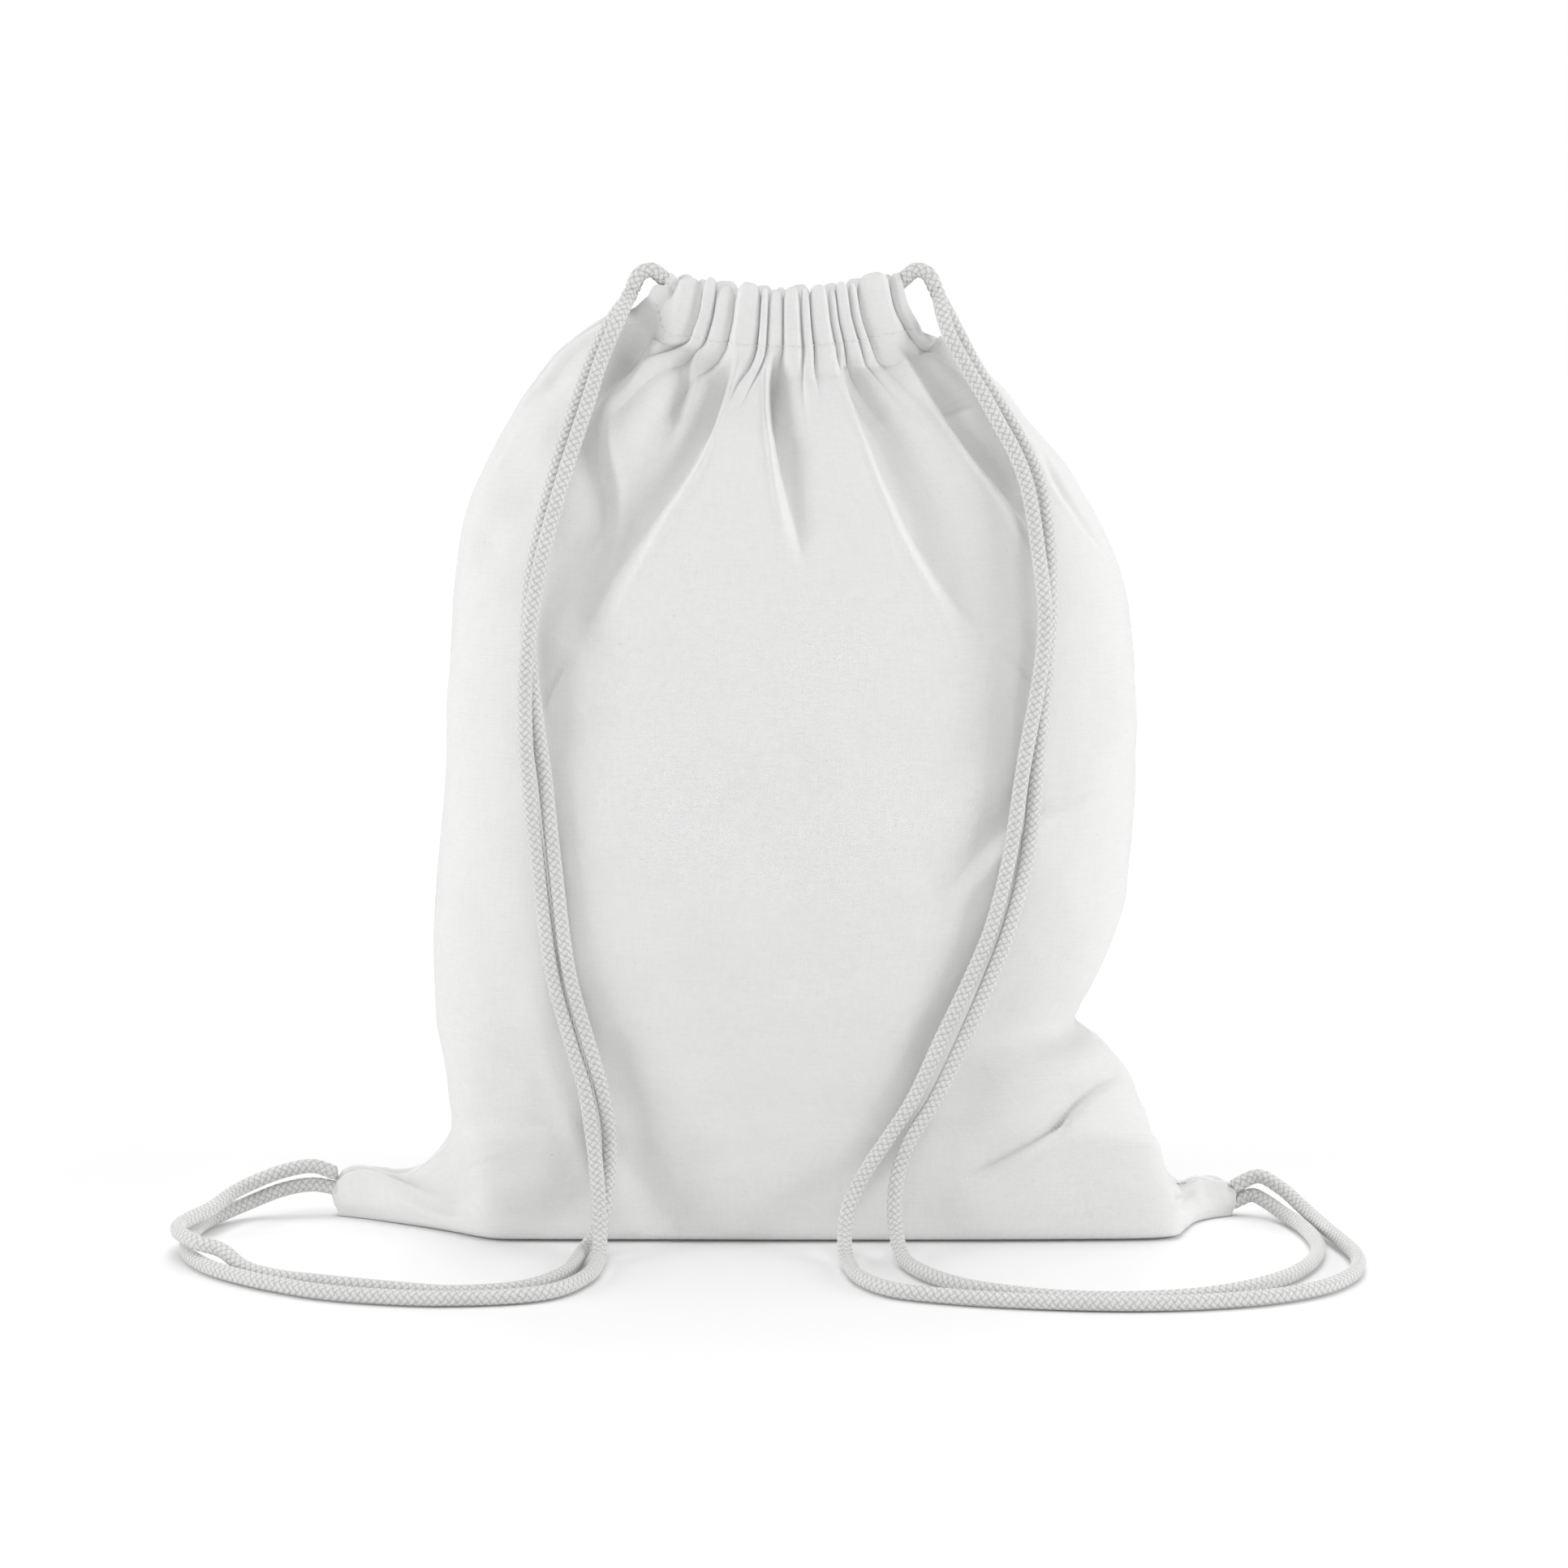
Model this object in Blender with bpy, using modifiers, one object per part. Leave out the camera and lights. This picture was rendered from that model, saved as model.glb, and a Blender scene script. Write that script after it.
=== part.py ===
"""Drawstring backpack: a flat cotton bag, stood up and filled out, with a gathered mouth and two cords.

Frame: metres, +Z up, the front of the bag faces -Y, the origin is at the middle of its footprint.
The walls are stand-ins of WALL thickness for thin cotton. The bag is empty inside and open at the mouth.
"""
import math

import bmesh
import bpy
from mathutils import Vector

MM = 0.001

# Cloth and seams
WALL = 1.5 * MM             # thickness of a wall panel
GAP = 0.3 * MM              # clearance between pieces that touch
SEAM_RADIUS = 0.75 * MM     # the rolled seam between the two panels
SEAM_EDGE = 1.5 * MM        # from the middle plane to each panel's edge, beside the seam
THREAD_RADIUS = 0.4 * MM

# Corner ears: the bottom corners, where the cords are sewn in
EAR_TIP = 184.0 * MM        # from the middle of the bag to a corner tip
EAR_TIP_EDGE = 3.2 * MM     # half the opening between the panels at a tip
EAR_HEIGHT = {"left": 24.0 * MM, "right": 18.0 * MM}
BARTACK_SIZE = (4.0 * MM, 4.0 * MM, 13.0 * MM)
BARTACK_FACE = 184.5 * MM
BARTACK_HEIGHT = {"left": 14.8 * MM, "right": 8.6 * MM}

# Filled-out body, in millimetres: height, left side, right side, half depth, squareness
BODY_STATIONS = (
    (2.5, -123.0, 163.0, 44.5, 6.0),
    (32.0, -139.5, 153.0, 49.5, 3.6),
    (58.0, -141.5, 146.0, 52.5, 3.2),
    (83.0, -144.0, 119.0, 54.0, 3.0),
    (108.0, -145.5, 131.0, 55.0, 3.0),
    (155.0, -142.5, 143.5, 56.5, 3.0),
    (205.0, -138.5, 143.5, 56.5, 2.9),
    (255.0, -135.0, 141.5, 54.5, 2.9),
    (290.0, -130.0, 126.5, 48.0, 2.8),
    (318.0, -117.5, 107.5, 37.5, 2.6),
    (340.0, -106.0, 90.5, 25.5, 2.4),
    (355.0, -91.0, 76.5, 17.0, 2.2),
)
PANEL_COLUMNS = 10          # cage faces from one side seam to the other
PANEL_DROP = 2.0 * MM       # from a tunnel's underside to the middle of the panel's top edge
MOUTH_SPREAD = 1.12         # how much wider than the tunnel the panel's top edge runs
BASE_SHARES = (0.0, 0.45, 0.8)      # the flat base's rows, from its middle seam towards its edge
BASE_EDGE_HEIGHT = 3.0 * MM
BASE_EDGE_SPREAD = 1.03     # how far the cloth bulges past the footprint at the base's edge
EAR_EDGE_SPREAD = 1.08      # and along the ears' upper edges
EAR_THINNING = 0.6          # share of its depth that an ear keeps, halfway along its upper edge

# Ends of the rolled seams, in millimetres
SIDE_SEAM_TOP = (57.5, 370.0)       # distance from the middle, height
SIDE_SEAM_EAR = ((170.0, 1.0), (152.0, 3.5))    # distance from the middle, height above the ear
BOTTOM_SEAM_HALF_LENGTH = 166.0

# Drawstring tunnels along the mouth
TUNNEL_HALF_LENGTH = 42.0 * MM
TUNNEL_STATIONS = 12
TUNNEL_RING = 12
TUNNEL_BORE_HALF_HEIGHT = 9.2 * MM
TUNNEL_WALL = 1.0 * MM
TUNNEL_LOW = 368.0 * MM     # middle of the tunnel at the middle of the mouth
TUNNEL_RISE = 7.0 * MM      # how much higher its ends are
TUNNEL_END_Y = 7.2 * MM     # from the mouth's middle plane to the tunnel's middle, at its ends
TUNNEL_BULGE = 8.3 * MM     # how much further out it runs at the middle
BORE_HALF_DEPTH = (3.9 * MM, 3.4 * MM)      # at the ends, and what the middle adds
STITCH_DROP = 7.5 * MM      # from the tunnel's middle to its sewn line
STITCH_REACH = 0.96         # share of the tunnel's length that is sewn
STITCH_STEPS = 16

# Cords
CORD_RADIUS = 3.0 * MM
POINT_SPACING = 13.0 * MM
FLOOR_HEIGHT = CORD_RADIUS + 0.2 * MM       # lowest centre line of a cord that lies on the floor
RUN_CLIMB = 4.0 * MM        # a run enters its tunnel this far above the middle and ends as far below
RUN_SIDESTEP = 3.5 * MM     # the two runs pass each other this far to each side of the middle
RUN_STEPS = 12
TURN_STEPS = 6
TAPER = (0.7, 0.5)          # a strand narrows to these shares of its radius at its two ends
TUBE_ROUNDNESS = 2
# Where a run arches out of the mouth beside its tunnel: distance from the middle, y, height
FRONT_STUB = ((60.6, -10.2, 382.0), (57.8, -9.6, 387.3), (53.0, -9.0, 389.0), (48.2, -8.0, 385.5))
BACK_STUB = ((48.2, 5.2, 385.5), (53.0, 1.6, 389.0), (57.8, -2.2, 387.3), (60.6, -3.6, 382.0))

# Joint axes: from the top of a shoulder cord, beside the tunnel, to the corner that holds its lower end
PIVOT_TOP = {"left": (-60.5, -6.8, 382.0), "right": (60.5, -6.8, 382.0)}

# Routes of the shoulder cords, in millimetres, from the mouth down to the corner tip.
# Each shoulder cord is two strands: they hang side by side, lie on the floor and rise to the ear.
LEFT_FRONT_ROUTE = (
    (-61.1, -10.4, 380.9), (-62.4, -11.6, 378), (-64.5, -16, 373), (-67, -21, 367), (-72, -24, 355),
    (-78, -33, 336),
    (-88, -45, 304), (-96, -53, 273), (-100, -56.5, 248), (-102, -57.5, 222), (-101, -57, 190),
    (-97.5, -56.5, 157), (-92, -56, 112), (-85, -56, 85), (-79.5, -56, 65.5), (-76.5, -57, 46),
    (-74.5, -61, 30), (-73, -71, 15), (-73, -84, 4), (-76, -111, 3.4), (-87, -133, 3.4),
    (-100, -141, 3.4), (-124, -145, 3.4), (-145, -144, 3.4), (-175, -136, 3.4), (-195, -124.5, 3.4),
    (-209, -114, 3.4), (-223, -100, 3.4), (-232, -86, 3.4), (-237, -72, 3.4), (-239, -55, 3.4),
    (-238, -35, 3.4), (-233, -18, 3.6), (-222, -7, 6.5), (-207, -2, 11.5), (-195, 0, 13),
    (-186, 0, 11.6),
)
LEFT_BACK_ROUTE = (
    (-61.1, -3.4, 380.9), (-62.6, -4.5, 377.8), (-66, -8.5, 373), (-70, -14, 366.5), (-76, -17.5, 354),
    (-82.5, -27, 335.5),
    (-92, -39, 304), (-99, -46.5, 272.5), (-101, -49.7, 249), (-98.5, -51.5, 218),
    (-94.5, -54, 189.5), (-91, -56, 157), (-85.4, -56, 112), (-78.4, -56, 85.5), (-73, -55, 65.5),
    (-70, -53.5, 46), (-70.5, -55, 30), (-72, -61, 17), (-76, -66, 7), (-80, -75, 3.4),
    (-82, -92, 3.4), (-85, -107, 3.4), (-92, -121, 3.4), (-102, -131, 3.4), (-126, -137, 3.4),
    (-146, -132, 3.4), (-177, -121, 3.4), (-196, -113, 3.4), (-210, -103, 4.5), (-220, -94, 9),
    (-230, -88, 10.4), (-236.5, -79, 10.8), (-241, -68, 10.2), (-242, -57, 10), (-239, -47, 10.3),
    (-233.5, -33, 10.5), (-224, -9, 13.5), (-208, -2.5, 19), (-195, 0, 20.8), (-186, 0, 18),
)
RIGHT_FRONT_ROUTE = (
    (61.1, -10.4, 380.9), (62.2, -11.8, 377.8), (63.2, -16, 372), (66.5, -21, 362), (73, -23.5, 350),
    (79, -27.5, 340),
    (85, -32, 329), (91.5, -36.5, 317), (96, -42, 304), (100, -51, 279), (102.5, -57.5, 254),
    (101, -59, 235), (94.5, -58.5, 196), (89, -57.5, 158), (82.5, -56.5, 131),
    (75, -56, 112), (62.5, -56, 85), (51, -56.5, 60), (42, -57, 46), (33.5, -60, 34),
    (26.5, -66, 22), (24, -74, 11), (25, -88, 3.8), (30, -115, 3.4), (41, -132, 3.4),
    (57, -140, 3.4), (73, -145, 3.4), (102, -150.5, 3.4), (133, -152.5, 3.4), (164, -149, 3.4),
    (190, -140, 3.4), (209, -126, 3.4), (221.5, -106, 3.4), (226, -84, 3.4), (224.5, -66, 3.6),
    (220, -44, 4.4), (213.5, -18, 7), (205, -5, 13), (196.5, 0, 16.5), (186, 0, 12),
)
RIGHT_BACK_ROUTE = (
    (61.1, -3.4, 380.9), (62.5, -4.5, 377.8), (66, -9, 371), (71, -14.5, 361), (77, -16, 350),
    (83.5, -20, 339.5),
    (90, -25, 329), (96.5, -29.5, 317), (101.5, -35, 304), (104.5, -45, 279), (104.5, -51, 254),
    (103, -52.5, 230), (100, -54.5, 196), (96, -56, 158), (89.5, -56, 131),
    (82.5, -55.5, 111.5), (71.5, -55.5, 85), (59.5, -56, 59.5), (51, -57, 46), (46, -58, 33),
    (44, -62, 21), (44.5, -70, 10.5), (47, -85, 3.8), (53, -104, 3.4), (63, -120, 3.4),
    (75, -131, 3.4), (103, -143.5, 3.4), (133, -145.8, 3.4), (164, -138, 3.4), (191, -117, 3.4),
    (204, -97, 3.4), (211.5, -75, 3.4), (213, -54, 3.4), (210.5, -31, 3.4), (205, -13, 4.2),
    (199, -4, 7), (194, 0, 8.5), (186, 0, 5.4),
)

COTTON = (0.86, 0.86, 0.85, 1.0)
THREAD = (0.80, 0.80, 0.79, 1.0)
CORD_COTTON = (0.78, 0.78, 0.77, 1.0)


def new_material(name, colour, roughness):
    material = bpy.data.materials.new(name)
    material.use_nodes = True
    shader = material.node_tree.nodes["Principled BSDF"]
    shader.inputs["Base Color"].default_value = colour
    shader.inputs["Roughness"].default_value = roughness
    shader.inputs["Metallic"].default_value = 0.0
    return material


def new_object(name, data, collection, colour, roughness=0.9, parent=None):
    """An object in the collection, with its own material, placed under a parent if it moves."""
    piece = bpy.data.objects.new(name, data)
    collection.objects.link(piece)
    data.materials.append(new_material(name + "_cotton", colour, roughness))
    if parent:
        piece.parent = parent
    return piece


def grid_mesh(name, columns, rows, place):
    """A grid primitive, columns by rows of faces, with each vertex moved to place(column, row)."""
    mesh = bpy.data.meshes.new(name)
    cage = bmesh.new()
    bmesh.ops.create_grid(cage, x_segments=columns, y_segments=rows, size=0.5)
    for vertex in cage.verts:
        column = round((vertex.co.x + 0.5) * columns)
        row = round((vertex.co.y + 0.5) * rows)
        vertex.co = place(column, row)
    cage.to_mesh(mesh)
    cage.free()
    mesh.shade_smooth()
    return mesh


def subdivide(piece, levels):
    modifier = piece.modifiers.new("Rounding", "SUBSURF")
    modifier.levels = levels
    modifier.render_levels = levels
    modifier.boundary_smooth = "PRESERVE_CORNERS"


def thicken(piece, thickness, offset):
    modifier = piece.modifiers.new("Wall", "SOLIDIFY")
    modifier.thickness = thickness
    modifier.offset = offset


def signed_power(value, exponent):
    return math.copysign(abs(value) ** exponent, value)


# ---------------------------------------------------------------- panels

def tunnel_centre(across):
    """Middle of the front tunnel; across runs from -1 at its left end to 1 at its right end."""
    y = -(TUNNEL_END_Y + TUNNEL_BULGE * math.cos(across * math.pi / 2))
    return Vector((across * TUNNEL_HALF_LENGTH, y, TUNNEL_LOW + TUNNEL_RISE * across ** 2))


def bore_half_depth(across):
    at_end, added = BORE_HALF_DEPTH
    return at_end + added * math.cos(across * math.pi / 2)


def body_point(station, column):
    """A point of the front half of the body's outline at one height."""
    height, left, right, depth, squareness = station
    angle = math.pi * (1 + column / PANEL_COLUMNS)
    power = 2 / squareness
    x = (left + right) / 2 + (right - left) / 2 * signed_power(math.cos(angle), power)
    y = depth * signed_power(math.sin(angle), power)
    edge = SEAM_EDGE / MM
    return Vector((x, min(y, -edge), height)) * MM


def ear_side(column):
    """Which ear a column belongs to, and how far it is from that tip: 0, 1 or 2."""
    if column <= PANEL_COLUMNS / 2:
        return "left", column
    return "right", PANEL_COLUMNS - column


def base_outline(column, height, spread):
    """The footprint at the floor, or the ears' upper edge; the ears reach from the tips to the body."""
    body = body_point(BODY_STATIONS[0], column)
    side, from_tip = ear_side(column)
    if from_tip > 1:
        return Vector((body.x, body.y * spread, height))
    tip_x = -EAR_TIP if side == "left" else EAR_TIP
    inner = body_point(BODY_STATIONS[0], 2 if side == "left" else PANEL_COLUMNS - 2)
    if from_tip == 1:
        return Vector(((tip_x + inner.x) / 2, inner.y * 0.5 * spread, height))
    return Vector((tip_x, -EAR_TIP_EDGE, height))


def panel_row_points():
    """The cage's rows, from the bottom seam, out along the base and up the body to the tunnel."""
    rows = []
    columns = range(PANEL_COLUMNS + 1)
    base = [base_outline(column, WALL / 2, 1.0) for column in columns]
    for share in BASE_SHARES:
        row = []
        for column, edge in enumerate(base):
            on_tip = ear_side(column)[1] == 0
            y = edge.y if on_tip else min(edge.y * share, -SEAM_EDGE)
            row.append(Vector((edge.x, y, WALL / 2)))
        rows.append(row)
    rows.append([base_outline(column, BASE_EDGE_HEIGHT, BASE_EDGE_SPREAD) for column in columns])
    ear_top = []
    for column in columns:
        side, from_tip = ear_side(column)
        point = base_outline(column, EAR_HEIGHT[side], EAR_EDGE_SPREAD)
        if from_tip == 1:
            point.y *= EAR_THINNING
        ear_top.append(point)
    rows.append(ear_top)
    rows += [[body_point(station, column) for column in columns] for station in BODY_STATIONS[1:]]
    rows.append([mouth_point(column) for column in columns])
    return rows


def mouth_point(column):
    """The panel's top edge, just under the tunnel; at its two ends it meets the top of the side seam."""
    across = 2 * column / PANEL_COLUMNS - 1
    if abs(across) == 1:
        from_middle, height = SIDE_SEAM_TOP
        return Vector((across * from_middle * MM, -SEAM_EDGE, height * MM))
    point = tunnel_centre(across * MOUTH_SPREAD)
    point.z -= TUNNEL_BORE_HALF_HEIGHT + TUNNEL_WALL + PANEL_DROP
    return point


def make_panels(collection):
    rows = panel_row_points()
    for name, side in (("front_panel", 1), ("back_panel", -1)):
        def place(column, row):
            point = rows[row][column if side > 0 else PANEL_COLUMNS - column]
            return Vector((point.x, point.y * side, point.z))
        mesh = grid_mesh(name, PANEL_COLUMNS, len(rows) - 1, place)
        panel = new_object(name, mesh, collection, COTTON)
        subdivide(panel, 1)
        thicken(panel, WALL, 0.0)


# ---------------------------------------------------------------- tunnels

def make_tunnels(collection):
    """Two sleeves, open at both ends: a ring that runs along the mouth and swells to its middle."""
    for name, side in (("front_tunnel", 1), ("back_tunnel", -1)):
        def place(station, turn):
            across = 2 * station / TUNNEL_STATIONS - 1
            angle = 2 * math.pi * turn / TUNNEL_RING
            centre = tunnel_centre(across)
            y = bore_half_depth(across) * signed_power(math.cos(angle), 0.5)
            z = TUNNEL_BORE_HALF_HEIGHT * signed_power(math.sin(angle), 0.5)
            return Vector((centre.x, side * (centre.y + y), centre.z + z))
        mesh = grid_mesh(name, TUNNEL_STATIONS, TUNNEL_RING, place)
        close_ring(mesh)
        sleeve = new_object(name, mesh, collection, COTTON)
        thicken(sleeve, TUNNEL_WALL, 1.0)


def close_ring(mesh):
    """Joins the first and last row of a rolled-up grid and turns its faces outward."""
    rolled = bmesh.new()
    rolled.from_mesh(mesh)
    bmesh.ops.remove_doubles(rolled, verts=rolled.verts, dist=0.00005)
    bmesh.ops.recalc_face_normals(rolled, faces=rolled.faces)
    top = max(rolled.faces, key=lambda face: face.calc_center_median().z)
    if top.normal.z < 0:
        bmesh.ops.reverse_faces(rolled, faces=rolled.faces)
    rolled.to_mesh(mesh)
    rolled.free()


def make_tunnel_stitching(collection):
    """The sewn line that closes each tunnel along its lower edge, on its outer side."""
    squareness = (1 - (STITCH_DROP / (TUNNEL_BORE_HALF_HEIGHT + TUNNEL_WALL)) ** 4) ** 0.25
    for name, side in (("front_tunnel_stitch", 1), ("back_tunnel_stitch", -1)):
        points = []
        for step in range(STITCH_STEPS + 1):
            across = (2 * step / STITCH_STEPS - 1) * STITCH_REACH
            centre = tunnel_centre(across)
            out = (bore_half_depth(across) + TUNNEL_WALL) * squareness + THREAD_RADIUS + 2 * GAP
            points.append(Vector((centre.x, side * (centre.y - out), centre.z - STITCH_DROP)))
        make_tube(name, points, THREAD_RADIUS, collection, THREAD)


# ---------------------------------------------------------------- tubes: seams and cords

def smooth_route(route, spacing):
    """Even points on a centripetal Catmull-Rom curve through a route's own points, in metres."""
    knots = [Vector(point) * MM for point in route]
    knots = [2 * knots[0] - knots[1]] + knots + [2 * knots[-1] - knots[-2]]
    fine = []
    for first in range(len(knots) - 3):
        p0, p1, p2, p3 = knots[first:first + 4]
        t1 = (p1 - p0).length ** 0.5
        t2 = t1 + (p2 - p1).length ** 0.5
        t3 = t2 + (p3 - p2).length ** 0.5
        for step in range(24):
            t = t1 + (t2 - t1) * step / 24
            a1 = p0 * ((t1 - t) / t1) + p1 * (t / t1)
            a2 = p1 * ((t2 - t) / (t2 - t1)) + p2 * ((t - t1) / (t2 - t1))
            a3 = p2 * ((t3 - t) / (t3 - t2)) + p3 * ((t - t2) / (t3 - t2))
            b1 = a1 * ((t2 - t) / t2) + a2 * (t / t2)
            b2 = a2 * ((t3 - t) / (t3 - t1)) + a3 * ((t - t1) / (t3 - t1))
            fine.append(b1 * ((t2 - t) / (t2 - t1)) + b2 * ((t - t1) / (t2 - t1)))
    fine.append(knots[-2])
    along = [0.0]
    for start, end in zip(fine, fine[1:]):
        along.append(along[-1] + (end - start).length)
    count = max(2, round(along[-1] / spacing))
    points = []
    place = 0
    for step in range(count + 1):
        target = along[-1] * step / count
        while place < len(fine) - 2 and along[place + 1] < target:
            place += 1
        share = (target - along[place]) / (along[place + 1] - along[place])
        points.append(fine[place].lerp(fine[place + 1], min(share, 1.0)))
    return points


def make_tube(name, points, radius, collection, colour, pivot=None, taper=(1.0, 1.0)):
    """A round tube with filled ends, on a poly curve; under a pivot its points are local to it."""
    curve = bpy.data.curves.new(name, "CURVE")
    curve.dimensions = "3D"
    curve.bevel_depth = radius
    curve.bevel_resolution = TUBE_ROUNDNESS
    curve.use_fill_caps = True
    spline = curve.splines.new("POLY")
    spline.points.add(len(points) - 1)
    origin = pivot.location if pivot else Vector()
    for spline_point, point in zip(spline.points, points):
        spline_point.co = (*(point - origin), 1.0)
    spline.points[0].radius, spline.points[-1].radius = taper
    return new_object(name, curve, collection, colour, parent=pivot)


def make_seams(collection):
    """Rolled seams between the panels: along the bottom, and up each side from the ear to the mouth."""
    lowest = SEAM_RADIUS / MM
    bottom = [(BOTTOM_SEAM_HALF_LENGTH * share, 0, lowest) for share in (-1, -0.5, 0, 0.5, 1)]
    make_tube("bottom_seam", smooth_route(bottom, 2 * POINT_SPACING), SEAM_RADIUS, collection, THREAD)
    for side, outward, column in (("left", -1, 1), ("right", 1, 2)):
        ear = EAR_HEIGHT[side] / MM
        route = [(outward * from_middle, 0, ear + above) for from_middle, above in SIDE_SEAM_EAR]
        route += [(station[column], 0, station[0]) for station in BODY_STATIONS[1:]]
        from_middle, height = SIDE_SEAM_TOP
        route.append((outward * from_middle, 0, height))
        points = smooth_route(route, POINT_SPACING)
        make_tube(side + "_side_seam", points, SEAM_RADIUS, collection, THREAD)


def make_bartacks(collection):
    """Dense stitching that closes each corner tip and holds the ends of its cord."""
    for side, outward in (("left", -1), ("right", 1)):
        mesh = bpy.data.meshes.new(side + "_corner_bartack")
        block = bmesh.new()
        bmesh.ops.create_cube(block, size=1.0)
        centre = Vector((outward * (BARTACK_FACE - BARTACK_SIZE[0] / 2), 0, BARTACK_HEIGHT[side]))
        for vertex in block.verts:
            vertex.co = Vector(c * s for c, s in zip(vertex.co, BARTACK_SIZE))
        block.to_mesh(mesh)
        block.free()
        bartack = new_object(side + "_corner_bartack", mesh, collection, THREAD)
        bartack.location = centre
        rounding = bartack.modifiers.new("Rounding", "BEVEL")
        rounding.width = 0.8 * MM
        rounding.segments = 2


# ---------------------------------------------------------------- cords

def tunnel_run_points(outward):
    """A cord's held part: out of the stub, through the front tunnel, round its far end and back.

    outward is -1 for the cord that leaves the mouth at the left, 1 for the one at the right.
    """
    points = [Vector((outward * x, y, z)) * MM for x, y, z in FRONT_STUB]
    front = []
    for step in range(RUN_STEPS + 1):
        across = outward * (1 - 2 * step / RUN_STEPS)
        centre = tunnel_centre(across)
        sidestep = outward * RUN_SIDESTEP * math.cos(across * math.pi / 2)
        front.append(centre + Vector((0, sidestep, outward * across * RUN_CLIMB)))
    points += front
    turn = front[-1]
    for step in range(1, TURN_STEPS):
        angle = math.pi * step / TURN_STEPS
        x = turn.x - outward * TUNNEL_END_Y * math.sin(angle)
        points.append(Vector((x, turn.y * math.cos(angle), turn.z)))
    points += [Vector((point.x, -point.y, point.z)) for point in reversed(front)]
    points += [Vector((outward * x, y, z)) * MM for x, y, z in BACK_STUB]
    return points


def make_cords(collection):
    """Each cord is one length; it is made as a held run and two free strands, split at its pivot."""
    routes = {
        "left": (("front", LEFT_FRONT_ROUTE), ("back", LEFT_BACK_ROUTE)),
        "right": (("front", RIGHT_FRONT_ROUTE), ("back", RIGHT_BACK_ROUTE)),
    }
    for side, outward in (("left", -1), ("right", 1)):
        run = tunnel_run_points(outward)
        make_tube(side + "_cord_tunnel_run", run, CORD_RADIUS, collection, CORD_COTTON)
        pivot = bpy.data.objects.new(side + "_strap_pivot", None)
        pivot.location = Vector(PIVOT_TOP[side]) * MM
        collection.objects.link(pivot)
        for strand, route in routes[side]:
            points = smooth_route(route, POINT_SPACING)
            points = [Vector((p.x, p.y, max(p.z, FLOOR_HEIGHT))) for p in points]
            name = side + "_strap_" + strand + "_strand"
            make_tube(name, points, CORD_RADIUS, collection, CORD_COTTON, pivot, TAPER)


def main():
    for existing in list(bpy.data.objects):
        bpy.data.objects.remove(existing)
    bag = bpy.data.collections.new("drawstring_backpack")
    bpy.context.scene.collection.children.link(bag)
    make_panels(bag)
    make_tunnels(bag)
    make_tunnel_stitching(bag)
    make_seams(bag)
    make_bartacks(bag)
    make_cords(bag)


main()
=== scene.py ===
"""Drawstring backpack in white cotton: cloth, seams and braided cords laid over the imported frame."""
import math

import bpy
import numpy as np
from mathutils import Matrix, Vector


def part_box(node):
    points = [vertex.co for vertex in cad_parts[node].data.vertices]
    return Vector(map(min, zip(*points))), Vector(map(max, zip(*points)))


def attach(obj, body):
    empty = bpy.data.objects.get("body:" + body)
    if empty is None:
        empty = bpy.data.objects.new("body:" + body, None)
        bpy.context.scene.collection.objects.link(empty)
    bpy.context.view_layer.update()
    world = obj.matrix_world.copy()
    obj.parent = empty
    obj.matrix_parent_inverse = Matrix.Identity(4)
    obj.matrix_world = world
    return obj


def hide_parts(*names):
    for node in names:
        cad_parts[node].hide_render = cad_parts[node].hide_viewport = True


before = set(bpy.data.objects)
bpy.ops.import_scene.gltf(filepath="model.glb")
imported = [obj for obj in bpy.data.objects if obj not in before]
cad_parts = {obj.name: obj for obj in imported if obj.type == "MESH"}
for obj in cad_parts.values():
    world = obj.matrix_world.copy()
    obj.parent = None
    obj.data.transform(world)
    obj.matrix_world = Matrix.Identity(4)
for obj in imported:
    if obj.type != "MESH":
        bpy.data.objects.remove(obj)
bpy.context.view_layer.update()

MM = 0.001

# ---- camera and stage

CAMERA_PLACE = (0.0, -1.6, 0.3925)
CAMERA_TARGET = (0.0, 0.0, 0.1805)
LENS = 90.585
LIGHT_AIM = (0, 0, 0.18)
AMBIENT = 0.275
FLOOR_GLOW = (0.02, 0.95)   # near the object and far from it
FLOOR_GLOW_REACH = (0.32, 1.3)
SKIES = (
    # name, place it shines from, strength, spread in degrees
    ("front_sky", (-0.15, -1.0, 2.1), 0.65, 55),
    ("rear_sky", (0.1, 0.6, 2.1), 1.05, 40),
)
SOFTBOXES = (
    # name, place, size, power
    ("left_softbox", (-1.95, -0.75, 0.7), (0.9, 1.3), 18.5),
    ("right_softbox", (1.95, -0.75, 0.7), (0.9, 1.3), 20),
    ("rear_softbox", (0.0, 1.9, 1.0), (1.6, 0.8), 9),
)


def add_object(name, data):
    thing = bpy.data.objects.new(name, data)
    bpy.context.collection.objects.link(thing)
    return thing


def aim_from(place, target):
    """The turn of a camera or a light that looks from a place at a target."""
    return (Vector(target) - Vector(place)).to_track_quat("-Z", "Y").to_euler()


def make_camera():
    data = bpy.data.cameras.new("camera")
    data.lens = LENS
    data.sensor_width = 36.0
    data.clip_start = 0.05
    camera = add_object("camera", data)
    camera.location = CAMERA_PLACE
    camera.rotation_euler = aim_from(CAMERA_PLACE, CAMERA_TARGET)
    bpy.context.scene.camera = camera


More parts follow.
